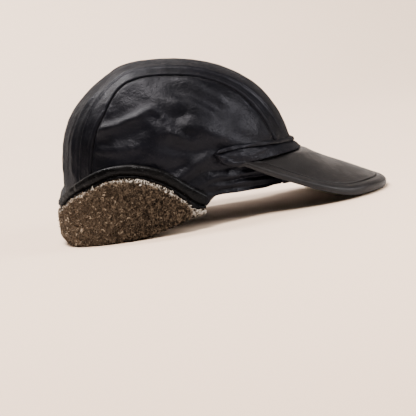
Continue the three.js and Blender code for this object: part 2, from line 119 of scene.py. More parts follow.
def archReach(x, z):
    a, b = x / halfLength(x), z / form["height"]
    blend = 0.5 * (1 + np.tanh(form["curveBlend"] * a / (np.hypot(a, b) + tiny)))
    m = form["sideCurveBack"] + (form["sideCurveFront"] - form["sideCurveBack"]) * blend
    return (np.abs(a) ** m + np.abs(b) ** m) ** (1 / m)


def planCurve(x, z):
    a, b = x / halfLength(x), np.maximum(z, 0) / form["height"]
    side = np.where(x > 0, form["planCurveFront"], form["planCurveBack"])
    return form["topCurve"] + (side - form["topCurve"]) * a * a / (a * a + b * b + tiny)


def taperAt(z):
    return np.where(z < 0, form["taper"] * (1 - np.exp(-(z / form["taperDepth"]) ** 2)), 0)


def wallShape(x, z):
    # the curve, half width and reach of the crown's section at a place in side view
    taper = taperAt(z)
    reach = np.where(z >= 0, archReach(x, z), np.abs(x) / (halfLength(x) - taper))
    return planCurve(x, z), form["halfWidth"] - form["taperSide"] * taper, reach


def crownField(x, y, z):
    # below 0 inside the crown, above 0 outside
    p, width, reach = wallShape(x, z)
    return reach ** p + (np.abs(y) / width) ** p - 1


def crownNormal(q, step=0.4):
    x, y, z = q.T
    n = np.stack([crownField(x + step, y, z) - crownField(x - step, y, z),
                  crownField(x, y + step, z) - crownField(x, y - step, z),
                  crownField(x, y, z + step) - crownField(x, y, z - step)], 1)
    return n / np.linalg.norm(n, axis=1)[:, None]


def reachWall(placeAt, count, farthest=1.5, halvings=34):
    # how far along each ray the crown's wall stands
    near, far = np.zeros(count), np.full(count, farthest)
    for _ in range(halvings):
        mid = (near + far) / 2
        inside = crownField(*placeAt(mid)) < 0
        near, far = np.where(inside, mid, near), np.where(inside, far, mid)
    return near


def wallPoint(angle, z):
    # a point of the crown by plan angle (0 front, 90 right side, 180 back) and height
    a = np.radians(angle)
    dx, dy = np.cos(a) * halfLength(np.cos(a)), -np.sin(a) * form["halfWidth"]
    reach = reachWall(lambda mid: (dx * mid, dy * mid, z), dx.shape)
    return np.stack([dx * reach, dy * reach, z + 0 * dx], 1)


def planOf(x, y):
    return np.degrees(np.arctan2(np.abs(y) / form["halfWidth"], x / halfLength(x)))


def archPoint(angle, y):
    # a point of the crown by angle over the arch (-1 front rim, 0 to 180 dome, 181 back rim)
    angle, y = np.broadcast_arrays(np.asarray(angle, float), np.asarray(y, float))
    turn = np.radians(np.clip(angle, 0, 180))
    dx, dz = np.cos(turn) * halfLength(np.cos(turn)), np.sin(turn) * form["height"]
    p = planCurve(dx, dz)
    reach = (1 - (np.abs(y) / form["halfWidth"]) ** p) ** (1 / p) / archReach(dx, dz)
    onDome = np.stack([dx * reach, y, dz * reach], 1)
    way = np.where(angle < 90, 1.0, -1.0)
    share = np.maximum(-angle, 0) + np.maximum(angle - 180, 0)
    p = np.where(way > 0, form["planCurveFront"], form["planCurveBack"])
    x = way * halfLength(way)
    for _ in range(8):  # the rim's height and the taper settle on each other
        z = ring("rim", planOf(x, y)) * share
        taper = taperAt(z)
        width = form["halfWidth"] - form["taperSide"] * taper
        x = way * (halfLength(way) - taper) * (1 - (np.abs(y) / width) ** p) ** (1 / p)
    below = (angle < 0) | (angle > 180)
    return np.where(below[:, None], np.stack([x, y, z], 1), onDome)


def sidePoint(x, z):
    p, width, reach = wallShape(x, z)
    return np.stack([x, -width * (1 - np.minimum(reach, 1) ** p) ** (1 / p), z], 1)


def tipped(q, way=1):
    # turns points or directions from as worn to as laid down, or back with way -1
    t = math.radians(form["tip"]) * way
    return np.stack([q[:, 0] * math.cos(t) + q[:, 2] * math.sin(t), q[:, 1],
                     q[:, 2] * math.cos(t) - q[:, 0] * math.sin(t)], 1)


def rest(q):
    return (tipped(q) + [form["moveX"], 0, form["moveZ"]]) / 1000


def unrest(q):
    return tipped(q * 1000 - [form["moveX"], 0, form["moveZ"]], -1)


def softNoise(q, size, seed, waves=9):
    # smooth random relief of about -1 to 1 with lumps of the given size
    rng = np.random.default_rng(seed)
    total = np.zeros(len(q))
    for _ in range(waves):
        way = rng.normal(size=3)
        way *= 2 * math.pi / size * rng.uniform(0.55, 1.3) / np.linalg.norm(way)
        total += np.sin(q @ way + rng.uniform(0, 6.28))
    return total / math.sqrt(waves / 2) / 1.6


# how far the soft top stands from the even dome, in mm, by angle over the arch; it fades out down the sides
settledTable = {
    "angle": [0, 15, 25, 35, 46, 54, 62, 69, 78, 90, 100, 108, 117, 124, 132, 142, 153, 160, 168, 180],
    "height": [0, 0.4, 1, 1.7, 2.6, 2.1, 1.3, 0.7, 0.3, 0.1, 0.1, 0.6, 0.9, -0.6, -1.8, -1.2, 0.1, 0.4, -0.6,
               -1.2],
    "fade": (58, 32),
}


def settle(q):
    angle = np.degrees(np.arctan2(np.maximum(q[:, 2], 0) / form["height"], q[:, 0] / halfLength(q[:, 0])))
    height = curveThrough(settledTable["angle"], settledTable["height"], angle)
    return height * smoothStep(*settledTable["fade"], np.abs(q[:, 1]))


# mesh helpers

def deselect():
    bpy.ops.object.select_all(action="DESELECT")


def pick(piece):
    deselect()
    piece.select_set(True)
    bpy.context.view_layer.objects.active = piece


def readVertices(piece, kind="co"):
    flat = np.empty(len(piece.data.vertices) * 3)
    piece.data.vertices.foreach_get(kind, flat)
    return flat.reshape(-1, 3)


def writeVertices(piece, q):
    piece.data.vertices.foreach_set("co", q.ravel())
    piece.data.update()


def markVertices(piece, name, values):
    piece.data.attributes.new(name, "FLOAT", "POINT").data.foreach_set("value", values)


def addGrid(name, across, along):
    # a grid primitive with its u and v as 0 to 1, ready to be laid on the cap
    deselect()
    bpy.ops.mesh.primitive_grid_add(x_subdivisions=across, y_subdivisions=along, size=1)
    piece = bpy.context.object
    piece.name = piece.data.name = name
    q = readVertices(piece)
    return piece, q[:, 0] + 0.5, q[:, 1] + 0.5


def gridStops(u):
    # the column or row of the grid that each vertex is in
    return np.rint(u * (len(np.unique(np.round(u, 6))) - 1)).astype(int)


def aboveFloor(q):
    # nothing dips under the surface that the cap rests on
    q[:, 2] = np.maximum(q[:, 2], form["lowest"])
    return q


def editAll(piece, *steps):
    pick(piece)
    bpy.ops.object.mode_set(mode="EDIT")
    bpy.ops.mesh.select_all(action="SELECT")
    for step in steps:
        step()
    bpy.ops.object.mode_set(mode="OBJECT")


def turnOut(piece, outward):
    # flips the faces if they look against the given outward directions at the vertices
    if np.sum(readVertices(piece, "normal") * outward) < 0:
        editAll(piece, bpy.ops.mesh.flip_normals)


def thicken(piece, wall):
    pick(piece)
    modifier = piece.modifiers.new("wall", "SOLIDIFY")
    modifier.thickness, modifier.offset = wall / 1000, -1
    modifier.use_even_offset = False
    bpy.ops.object.modifier_apply(modifier=modifier.name)


def smooth(piece, angle=50):
    pick(piece)
    bpy.ops.object.shade_smooth_by_angle(angle=math.radians(angle))


def copiesOf(name, points, faces, count):
    # one piece from many copies of a small shape, whose points come one copy after another
    step = len(points) // count
    mesh = bpy.data.meshes.new(name)
    allFaces = [tuple(i + k * step for i in face) for k in range(count) for face in faces]
    mesh.from_pydata(points.tolist(), [], allFaces)
    piece = bpy.data.objects.new(name, mesh)
    bpy.context.scene.collection.objects.link(piece)
    return piece


def closeTube(piece):
    # first and last row of the section meet: weld them, cap the two ends, face it outwards
    def weld():
        bpy.ops.mesh.remove_doubles(threshold=0.00001)
        bpy.ops.mesh.select_all(action="DESELECT")
        bpy.ops.mesh.select_mode(type="EDGE")
        bpy.ops.mesh.select_non_manifold(extend=False, use_wire=False, use_multi_face=False,
                                         use_non_contiguous=False, use_verts=False)
        bpy.ops.mesh.fill(use_beauty=True)
        bpy.ops.mesh.select_all(action="SELECT")
        bpy.ops.mesh.normals_make_consistent(inside=False)
        bpy.ops.mesh.select_mode(type="VERT")
    editAll(piece, weld)


def stand(piece, node, material, angle=50):
    smooth(piece, angle)
    piece.data.materials.clear()
    piece.data.materials.append(material)
    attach(piece, "root")
    if node:
        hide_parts(node)
    print(piece.name, len(piece.data.vertices), "vertices")
    return piece


# materials

def newGroup(name, inputs, outputs):
    group = bpy.data.node_groups.new(name, "ShaderNodeTree")
    for label, value in inputs:
        group.interface.new_socket(label, in_out="INPUT", socket_type="NodeSocketFloat").default_value = value
    for label in outputs:
        group.interface.new_socket(label, in_out="OUTPUT", socket_type="NodeSocketFloat")
    return group, group.nodes.new("NodeGroupInput"), group.nodes.new("NodeGroupOutput")


def feed(tree, value, socket):
    # links the socket, or sets it where the value is a number or a colour
    if isinstance(value, bpy.types.NodeSocket):
        tree.links.new(value, socket)
    else:
        socket.default_value = (*value, 1) if isinstance(value, tuple) else value


def addNode(tree, kind, **values):
    node = tree.nodes.new(kind)
    for name, value in values.items():
        feed(tree, value, node.inputs[name.replace("_", " ")])
    return node


def addMath(tree, operation, a, b=0.5, clamp=False):
    node = tree.nodes.new("ShaderNodeMath")
    node.operation, node.use_clamp = operation, clamp
    feed(tree, a, node.inputs[0])
    feed(tree, b, node.inputs[1])
    return node.outputs[0]


def addNoise(tree, vector, scale, detail=2.0, rough=0.5, distortion=0.0):
    return addNode(tree, "ShaderNodeTexNoise", Vector=vector, Scale=scale, Detail=detail, Roughness=rough,
                   Distortion=distortion).outputs["Fac"]


def addRange(tree, value, low, high, toLow=0.0, toHigh=1.0):
    node = addNode(tree, "ShaderNodeMapRange", Value=value, From_Min=low, From_Max=high,
                   To_Min=toLow, To_Max=toHigh)
    node.interpolation_type = "SMOOTHSTEP"
    return node.outputs["Result"]


def mixColour(tree, fac, dark, light):
    node = tree.nodes.new("ShaderNodeMix")
    node.data_type = "RGBA"
    first, second = [s for s in node.inputs if s.type == "RGBA"]
    feed(tree, fac, node.inputs["Factor"])
    feed(tree, dark, first)
    feed(tree, light, second)
    return [s for s in node.outputs if s.type == "RGBA"][0]


def addBump(tree, skin, height, strength, distance):
    bump = addNode(tree, "ShaderNodeBump", Strength=strength, Distance=distance, Height=height)
    tree.links.new(bump.outputs["Normal"], skin.inputs["Normal"])


def objectPlace(tree):
    return tree.nodes.new("ShaderNodeTexCoord").outputs["Object"]


def newMaterial(name, rough, shine):
    material = bpy.data.materials.new(name)
    material.use_nodes = True
    skin = material.node_tree.nodes["Principled BSDF"]
    skin.inputs["Roughness"].default_value = rough
    skin.inputs["Specular IOR Level"].default_value = shine
    return material, material.node_tree, skin


# what all the leathers share: soft pebbles, fine pores, thin creases darkened with painted shade, broad
# patches of tone and gloss
grainLook = {"softness": 0.6, "pebbleShare": 0.5, "pores": 2600.0, "poreShare": 0.25, "creaseLine": 0.05,
             "patches": 22.0, "creaseShade": 0.35, "glossPatches": 55.0, "depth": 0.00035}


def buildLeatherGrain():
    look = grainLook
    group, into, out = newGroup("leatherGrain", [("Pebble", 950.0), ("Crease", 90.0), ("Creasing", 0.5),
                                                 ("Mottle", 240.0), ("Mottling", 1.0)],
                                ["Height", "Tone", "Gloss"])

    def combine(operation, a, b=0.5, clamp=False):
        return addMath(group, operation, a, b, clamp)

    place = objectPlace(group)
    cells = addNode(group, "ShaderNodeTexVoronoi", Vector=place, Scale=into.outputs["Pebble"])
    cells.feature = "SMOOTH_F1"
    cells.inputs["Smoothness"].default_value = look["softness"]
    pebbles = combine("SUBTRACT", 1.0, cells.outputs["Distance"])
    pores = addNoise(group, place, look["pores"])
    folds = addNoise(group, place, into.outputs["Crease"], 3.0, 0.55, 1.2)
    lines = addRange(group, combine("ABSOLUTE", combine("SUBTRACT", folds, 0.5)), 0.0, look["creaseLine"])
    creases = combine("MULTIPLY", combine("SUBTRACT", 1.0, lines), into.outputs["Creasing"])
    height = combine("ADD", combine("MULTIPLY", pebbles, look["pebbleShare"]),
                     combine("MULTIPLY", pores, look["poreShare"]))
    mottle = addNoise(group, place, into.outputs["Mottle"], 3.0, 0.6, 0.4)
    height = combine("ADD", combine("SUBTRACT", height, creases),
                     combine("MULTIPLY", mottle, into.outputs["Mottling"]))
    tone = addRange(group, addNoise(group, place, look["patches"], 3.0, 0.6), 0.3, 0.7)
    # painted shade: the base colour is darkened along the sunk crease lines
    tone = combine("SUBTRACT", tone, combine("MULTIPLY", creases, look["creaseShade"]), True)
    gloss = addRange(group, addNoise(group, place, look["glossPatches"], 4.0, 0.6), 0.3, 0.7)
    for name, value in (("Height", height), ("Tone", tone), ("Gloss", gloss)):
        group.links.new(value, out.inputs[name])
    return group


leatherGrain = buildLeatherGrain()


def leather(name, look):
    material, tree, skin = newMaterial(name, 0.5, look["shine"])
    grain = tree.nodes.new("ShaderNodeGroup")
    grain.node_tree = leatherGrain
    for key in ("Pebble", "Crease", "Creasing", "Mottle", "Mottling"):
        grain.inputs[key].default_value = look[key.lower()]
    feed(tree, mixColour(tree, grain.outputs["Tone"], look["dark"], look["light"]), skin.inputs["Base Color"])
    # duller where the surface turns away
    edgeOn = addNode(tree, "ShaderNodeLayerWeight", Blend=0.5).outputs["Facing"]
    rough = addMath(tree, "ADD", addRange(tree, grain.outputs["Gloss"], 0, 1, *look["rough"]),
                    addRange(tree, edgeOn, 0.35, 0.9, 0.0, look["dull"]))
    feed(tree, rough, skin.inputs["Roughness"])
    addBump(tree, skin, grain.outputs["Height"], look["bump"], grainLook["depth"])
    skin.inputs["Specular Tint"].default_value = (*look["tint"], 1)
    return material


crownLook = {"dark": (0.0011, 0.0011, 0.0018), "light": (0.0026, 0.0026, 0.0042), "rough": (0.34, 0.48),
             "dull": 0.4, "bump": 0.5, "pebble": 950.0, "crease": 75.0, "creasing": 0.22, "mottle": 320.0,
             "mottling": 2.6, "shine": 0.135, "tint": (0.84, 0.86, 1.0)}
# painted light: the peak is the crown's black leather given a lighter base colour, standing in for the light
# its top catches
peakLook = {"dark": (0.0046, 0.0042, 0.0046), "light": (0.0088, 0.008, 0.0082), "rough": (0.37, 0.49),
            "dull": 0.03, "bump": 0.5, "pebble": 900.0, "crease": 60.0, "creasing": 0.14, "mottle": 320.0,
            "mottling": 1.3, "shine": 0.25, "tint": (0.93, 0.94, 1.0)}
flapLook = {"dark": (0.0008, 0.0008, 0.0009), "light": (0.002, 0.0018, 0.0018), "rough": (0.26, 0.38),
            "dull": 0.4, "bump": 0.55, "pebble": 900.0, "crease": 110.0, "creasing": 0.35, "mottle": 320.0,
            "mottling": 2.0, "shine": 0.1, "tint": (0.9, 0.92, 1.0)}
crownLeather = leather("crownLeather", crownLook)
peakLitLeather = leather("peakLitLeather", peakLook)
flapLeather = leather("flapLeather", flapLook)
print("leather ready")

# creases of the side panel: a line of points as worn (mm), how wide, how high (minus is a hollow)
sideCreases = [
    ([(-88, 42), (-62, 51.5), (-41, 60.5), (-24, 71)], 3.8, 2.2),
    ([(-33, 68), (-25, 66), (-14, 57)], 3.4, 1.5),
    ([(-84, 51), (-60, 59.5), (-43, 67.5), (-26, 79)], 7.0, -2.0),
    ([(-70, 62), (-52, 76), (-34, 85), (-12, 92)], 7.0, -1.5),
    ([(-82, 34), (-55, 42), (-26, 54)], 6.5, -1.6),
    ([(-22, 86), (8, 80), (26, 71), (56, 58)], 7.0, -1.7),
    ([(-14, 74), (6, 75), (18, 69), (32, 58)], 4.6, 1.2),
    ([(-8, 54), (10, 51), (26, 45), (44, 40)], 8.5, 2.8),
    ([(-18, 48), (-6, 44), (0, 40.5), (14, 37)], 4.2, 1.9),
    ([(-26, 39), (-3, 32), (14, 30), (46, 35)], 6.0, -2.2),
    ([(-26, 62), (-8, 60), (8, 62)], 5.0, -1.4),
    ([(-18, -4), (-3, 8), (5, 14), (20, 25), (32, 37)], 5.4, 2.1),
    ([(-12, -8), (3, 4), (14, 11), (32, 17)], 2.6, -1.0),
    ([(-6, -10), (9, -1), (26, 5)], 3.0, 1.1),
    ([(-40, 18), (-20, 14), (-9, 14), (8, 22)], 7.0, -2.0),
    ([(-20, 95), (6, 91), (26, 82), (50, 67)], 6.5, 1.2),
    ([(42, 58), (62, 46), (78, 32)], 8.0, 1.0),
    ([(34, 40), (56, 36), (76, 26)], 5.0, 0.9),
    ([(-86, 29), (-60, 31), (-34, 34)], 4.0, 0.7),
    ([(-72, 21), (-50, 24), (-30, 30)], 4.0, -0.6),
    ([(18, 3), (33, 8), (43, 7.5), (54, 9.5), (66, 11.5), (84, 12)], 2.4, 1.6),
    ([(24, 2), (41, 3.4), (52, 5.5), (66, 6), (88, 9)], 1.8, -1.5),
    ([(14, -3), (30, 0), (40, -0.4), (50, 2), (72, 3)], 1.9, 1.3),
    ([(54, 4), (72, 3.5), (92, 4)], 1.6, 1.1),
    ([(18, -7), (36, -4), (48, -2.5), (60, -2.5), (82, 0)], 1.7, -1.3),
    ([(8, -9), (26, -9), (44, -6)], 2.0, 1.1),
    ([(38, -7), (56, -5.5), (70, -4), (90, -1)], 1.6, 1.0),
    ([(20, 11), (36, 14), (52, 17)], 2.2, -1.0),
    ([(27, -5), (36, 5), (45, 17)], 1.8, 0.6),
]
creaseEnds = {"fade": 0.22, "least": 0.12}


def creaseHeight(x, z, creases):
    # each crease rises from next to nothing at its two ends
    total = np.zeros_like(x)
    for line, width, height in creases:
        line = np.array(line, float)
        run = runOf(line)
        near, share = np.full_like(x, 1e9), np.zeros_like(x)
        for i, ((x0, z0), (x1, z1)) in enumerate(zip(line, line[1:])):
            dx, dz = x1 - x0, z1 - z0
            s = np.clip(((x - x0) * dx + (z - z0) * dz) / (dx * dx + dz * dz), 0, 1)
            away = np.hypot(x - x0 - s * dx, z - z0 - s * dz)
            closer = away < near
            near = np.where(closer, away, near)
            share = np.where(closer, (run[i] + s * (run[i + 1] - run[i])) / run[-1], share)
        ends = smoothStep(0, creaseEnds["fade"], share) * smoothStep(1, 1 - creaseEnds["fade"], share)
        rise = creaseEnds["least"] + (1 - creaseEnds["least"]) * ends
        total += height * rise * bell(near, width)
    return total


archPace = {"dome": 28, "rimStep": 0.25}


def archStops(u, front, back):
    # u from 0 to 1 as angles over the arch: even steps over the dome, the given numbers of steps on the rims
    dome = archPace["dome"]
    run = u * (front + dome + back) - front
    over = 180 + (run - dome) * archPace["rimStep"]
    return np.where(run < 0, run, np.where(run <= dome, run * 180 / dome, over))


def archHalf(line, angle):
    return curveThrough(archTable["angle"], archTable[line], np.clip(angle, 0, 180))


def finishPanel(piece, q, height, node, wall, flip=1):
    # lays a panel on the crown with its relief and gives the leather its thickness
    normal, mirror = crownNormal(q), np.array([1, flip, 1])
    writeVertices(piece, rest((q + normal * height[:, None]) * mirror))
    turnOut(piece, tipped(normal * mirror))
    thicken(piece, wall)
    return stand(piece, node, crownLeather)


sideLook = {"across": 230, "up": 120, "wall": 2.0, "rowPace": 1.35, "gap": 0.15, "endGap": 1.3,
            "dip": 1.0, "dipWidth": 0.7, "rimDip": 0.5, "rimDipWidth": 1.2, "calm": 6,
            "puff": 1.2, "puffBack": 2.2, "puffRise": 3.2, "puffReach": 17.0, "puffRim": 14,
            "puffFrom": (66, 116), "puffTo": (160, 140), "sway": 0.5, "lumps": 0.16, "pucker": 0.25,
            "flapFrom": (78, 84), "underFlap": 0.9}


def makeSide(name, node, side):
    look = sideLook
    piece, u, v = addGrid(name, look["across"], look["up"])
    v = 1 - (1 - v) ** look["rowPace"]
    angle = archStops(u, 0, 3)
    top = archPoint(angle, -(archHalf("seam", angle) + look["gap"]))
    ends = archPoint(np.array([-1.0, 181.0]), archHalf("seam", [0, 180]) + look["gap"])
    first, last = planOf(ends[:, 0], ends[:, 1]) + np.array([1, -1]) * look["endGap"]
    plan = first + (last - first) * u
    foot = wallPoint(plan, ring("rim", plan))
    x, z = (foot[:, [0, 2]] + (top[:, [0, 2]] - foot[:, [0, 2]]) * v[:, None]).T
    q = sidePoint(x, z)
    toSeam, toRim = np.linalg.norm(q - top, axis=1), np.linalg.norm(q - foot, axis=1)
    calm = 1 - smoothStep(look["calm"], 0, toSeam)
    height = creaseHeight(x, z, sideCreases) * calm
    # the leather swells beside the sunk seam, most at the top of the back
    atBack = smoothStep(*look["puffFrom"], angle) * smoothStep(*look["puffTo"], angle)
    puff = look["puff"] + look["puffBack"] * atBack
    height += (puff * (1 - bell(toSeam, look["puffRise"])) * bell(toSeam, look["puffReach"])
               * smoothStep(0, look["puffRim"], toRim))
    height += look["sway"] * softNoise(q, 34, 3 + side) * calm + look["lumps"] * softNoise(q, 11, 5 + side)
    height += look["pucker"] * softNoise(q, 4.5, 8 + side) * bell(toSeam, 4)
    height -= look["dip"] * bell(toSeam, look["dipWidth"]) + look["rimDip"] * bell(toRim, look["rimDipWidth"])
    # flat enough under the turned-up flap
    plan = planOf(x, q[:, 1])
    flap = smoothStep(*look["flapFrom"], plan) * smoothStep(0, -12, z - ring("flapTop", plan))
    height = np.minimum(height, look["underFlap"]) * flap + height * (1 - flap) + settle(q)
    return finishPanel(piece, q, height, node, look["wall"], -side)


makeSide("sidePanelRight", "crown_side_right", -1)
makeSide("sidePanelLeft", "crown_side_left", 1)

centreLook = {"along": 260, "across": 64, "wall": 2.0, "gap": 0.15, "edgePace": 0.92, "dip": 1.6,
              "dipWidth": 1.7, "puff": 0.7, "foldStart": 12, "foldEnd": 8, "sway": 2.5, "swayPace": 13,
              "lumps": 0.25, "fineLumps": 0.1, "tuckFront": (4, -2), "tuckBack": (174, 180.2),
              "tucked": (-1, 0.5)}
# folds that run over the centre panel: across position, from and to angle, width and height in mm
centreFolds = [
    {"y": -34, "from": 128, "to": 182, "width": 3.0, "height": 1.5},
    {"y": -26, "from": 140, "to": 182, "width": 2.4, "height": -1.2},
    {"y": -17, "from": 134, "to": 182, "width": 3.0, "height": 1.2},
    {"y": -4, "from": 142, "to": 182, "width": 3.0, "height": -1.0},
    {"y": 9, "from": 136, "to": 182, "width": 3.0, "height": 1.1},
    {"y": 24, "from": 138, "to": 182, "width": 3.2, "height": -0.8},
    {"y": -22, "from": 84, "to": 118, "width": 3.0, "height": -0.6},
    {"y": 15, "from": 60, "to": 100, "width": 5.0, "height": 0.5},
]


def makeCentre():
    look = centreLook
    piece, u, v = addGrid("centrePanel", look["along"], look["across"])
    angle = archStops(u, 1, 4)
    half = archHalf("centre", angle) - look["gap"]
    pace = look["edgePace"] * math.pi
    spread = np.sin((v - 0.5) * pace) / math.sin(pace / 2)
    q = archPoint(angle, half * spread)
    height = look["puff"] * np.cos(spread * math.pi / 2) ** 0.6
    for fold in centreFolds:
        ends = (smoothStep(fold["from"], fold["from"] + look["foldStart"], angle)
                * smoothStep(fold["to"], fold["to"] - look["foldEnd"], angle))
        sway = look["sway"] * np.sin(angle / look["swayPace"] + fold["y"])
        height += fold["height"] * ends * bell(q[:, 1] - fold["y"] - sway, fold["width"])
    height += look["lumps"] * softNoise(q, 26, 21) + look["fineLumps"] * softNoise(q, 9, 22)
    height -= look["dip"] * bell(half * (1 - np.abs(spread)), look["dipWidth"])
    tuck = smoothStep(*look["tuckFront"], angle) + smoothStep(*look["tuckBack"], angle)
    height = height * (1 - tuck) + np.clip(height, *look["tucked"]) * tuck + settle(q)
    return finishPanel(piece, q, height, "crown_centre", look["wall"])


makeCentre()

stripLook = {"along": 300, "across": 26, "wall": 2.0, "gap": 0.15, "raise": 0.8,
             "edgeSharp": 9, "seamRidge": 0.35, "seamRidgeAt": 1.6, "seamRidgeWidth": 0.9, "seamDip": 0.6,
             "seamDipWidth": 0.5, "centreRidge": 0.95, "centreRidgeAt": 1.7, "centreRidgeWidth": 1.0,
             "centreDip": 1.2, "centreDipWidth": 0.8, "lumps": 0.14, "pucker": 0.12, "tuckFront": (26, 18),
             "tuckBack": (176, 180.2), "tucked": 0.8}


def makeStrip(name, node, side):
    look = stripLook
    piece, u, v = addGrid(name, look["along"], look["across"])
    angle = archStops(u, 1, 4)
    inner, outer = archHalf("centre", angle) + look["gap"], archHalf("seam", angle) - look["gap"]
    q = archPoint(angle, side * (inner + (outer - inner) * v))
    fromCentre, fromSeam = (outer - inner) * v, (outer - inner) * (1 - v)
    height = look["raise"] * (1 - np.abs(2 * v - 1) ** look["edgeSharp"])
    for edge, away in (("seam", fromSeam), ("centre", fromCentre)):
        height += look[edge + "Ridge"] * bell(away - look[edge + "RidgeAt"], look[edge + "RidgeWidth"])
        height -= look[edge + "Dip"] * bell(away, look[edge + "DipWidth"])
    height += look["lumps"] * softNoise(q, 12, 31 + side)
    height += look["pucker"] * softNoise(q, 5, 33 + side) * bell(fromSeam, 4)
    tuck = np.clip(smoothStep(*look["tuckFront"], angle) + smoothStep(*look["tuckBack"], angle), 0, 1)
    height = height * (1 - tuck) + np.minimum(height, look["tucked"]) * tuck + settle(q)
    return finishPanel(piece, q, height, node, look["wall"])


makeStrip("seamStripRight", "seam_strip_right", -1)
makeStrip("seamStripLeft", "seam_strip_left", 1)

liningLook = {"around": 180, "up": 60, "depth": 3.0, "wall": 0.4, "hem": 0.4, "skirt": 0.25,
              "creased": (40, 52), "dark": (0.0055, 0.005, 0.0055), "light": (0.011, 0.0105, 0.012),
              "rough": 0.42, "shine": 0.3, "twill": 420.0, "twillShare": 0.4, "clouds": 30.0, "bump": 0.25,
              "bumpDepth": 0.0002}


def liningMaterial():
    # plain dark satin with a fine twill
    look = liningLook
    material, tree, skin = newMaterial("liningSatin", look["rough"], look["shine"])
    place = objectPlace(tree)
    twill = addNode(tree, "ShaderNodeTexWave", Scale=look["twill"], Distortion=0.6, Vector=place)
    twill.bands_direction = "DIAGONAL"
    cloud = addRange(tree, addNoise(tree, place, look["clouds"], 3.0), 0.3, 0.7)
    tone = addMath(tree, "ADD", addMath(tree, "MULTIPLY", twill.outputs["Fac"], look["twillShare"]),
                   addMath(tree, "MULTIPLY", cloud, 1 - look["twillShare"]))
    feed(tree, mixColour(tree, tone, look["dark"], look["light"]), skin.inputs["Base Color"])
    addBump(tree, skin, twill.outputs["Fac"], look["bump"], look["bumpDepth"])
    return material


def makeLining():
    # one thin shell inside the panels, from a hem above the rim up to the crown
    look = liningLook
    piece, u, v = addGrid("lining", look["around"], look["up"])
    turn = u * 360
    a, plan = np.radians(turn), np.where(turn <= 180, turn, 360 - turn)
    foot = wallPoint(plan, ring("rim", plan) + look["hem"])
    lift = np.radians(90 * np.clip((v - look["skirt"]) / (1 - look["skirt"]), 0, 1))
    way = np.stack([np.cos(a) * np.cos(lift) * halfLength(np.cos(a)),
                    -np.sin(a) * np.cos(lift) * form["halfWidth"], np.sin(lift) * form["height"]], 1)
    dome = way * reachWall(lambda mid: (way * mid[:, None]).T, len(u))[:, None]
    skirt = wallPoint(plan, foot[:, 2] * (1 - np.clip(v / look["skirt"], 0, 1)))
    skirt[:, 1] *= np.where(turn <= 180, 1, -1)
    q = np.where((v < look["skirt"])[:, None], skirt, dome)
    creased = smoothStep(*look["creased"], np.abs(q[:, 1]))
    hollow = np.minimum(0, creaseHeight(q[:, 0], q[:, 2], sideCreases)) * creased
    writeVertices(piece, rest(q + crownNormal(q) * (settle(q) + hollow - look["depth"])[:, None]))
    editAll(piece, lambda: bpy.ops.mesh.remove_doubles(threshold=0.00002),
            lambda: bpy.ops.mesh.normals_make_consistent(inside=False))
    thicken(piece, look["wall"])
    return stand(piece, None, liningMaterial(), 60)


makeLining()
print("crown done")


def smoothPath(points, t):
    # even-paced smooth curve through a short list of (out, height) pairs
    points = np.asarray(points, float)
    run = np.concatenate([[0], np.cumsum(np.maximum(np.linalg.norm(np.diff(points, axis=0), axis=1), 1e-6))])
    at = t * run[-1]
    return curveThrough(run, points[:, 0], at), curveThrough(run, points[:, 1], at)


def aroundCap(stop):
    # plan angle and side of a stop that runs on past the back, or below 0 on the left
    return abs(stop) if stop <= 180 else 360 - stop, -1 if stop < 0 or stop > 180 else 1


def sweep(name, look, section, relief=None):
    # a closed section swept round the crown: section(angle) gives its (out, height) corners
    piece, u, v = addGrid(name, look["columns"], look["rows"])
    column, row = gridStops(u), gridStops(v)
    pace = np.linspace(0, 1, row.max() + 1)
    place = np.zeros((column.max() + 1, row.max() + 1, 3))
    first, last = look["span"]
    for i, stop in enumerate(first + (last - first) * np.linspace(0, 1, column.max() + 1)):
        turn, side = aroundCap(stop)
        out, z = smoothPath(section(turn), pace)
        if relief is not None:
            out = out + relief(stop, pace, z)
        base = wallPoint(np.full(len(pace), turn), z)
        place[i] = (base + crownNormal(base) * out[:, None]) * [1, side, 1]
        place[i, -1] = place[i, 0]
    writeVertices(piece, rest(place[column, row]))
    closeTube(piece)
    return piece


bandLook = {"columns": 260, "rows": 56, "span": (-75.5, 75.5), "base": -0.8, "thick": 3.8, "swell": 4.4,
            "weltHeight": 3.2, "weltShare": 0.32, "weltOut": 1.4, "puff": 0.9, "templePuff": 1.5,
            "puffFrom": (46, 66), "temple": (40, 68), "creases": 0.22, "templeCreases": 0.35,
            "fineCreases": 0.07}


def bandSection(turn):
    # up the face from the foot, over the rolled welt, and down the back
    top, foot = float(ring("bandTop", turn)), float(ring("bandFoot", turn))
    tall, base = top - foot, bandLook["base"]
    face = base + bandLook["thick"]
    swell = bandLook["swell"] * max(0.0, math.cos(math.radians(turn))) ** 2
    welt = min(bandLook["weltHeight"], tall * bandLook["weltShare"])
    roll = bandLook["weltOut"] * min(1.0, tall / 8)
    puff = (bandLook["puff"] + bandLook["templePuff"] * float(smoothStep(*bandLook["puffFrom"], turn)))
    puff *= min(1.0, tall / 7)
    return [
        (base, foot + 0.2), (face + swell + 0.2, foot - 0.1), (face + swell + 0.9, foot + 0.03 * tall),
        (face + swell * 0.86 + puff * 0.7, foot + 0.13 * tall),
        (face + swell * 0.5 + puff, foot + 0.38 * tall),
        (face + swell * 0.18 + puff * 0.6, top - welt - 0.14 * tall), (face - 0.6, top - welt),
        (face + roll * 0.7, top - welt * 0.93), (face + roll, top - welt * 0.7),
        (face + roll, top - welt * 0.3), (face + roll * 0.7, top), (face - 0.4, top + 0.25),
        (base + 1.2, top - 0.1), (base, top - welt * 0.5), (base, foot + 0.5 * tall), (base, foot + 0.2),
    ]


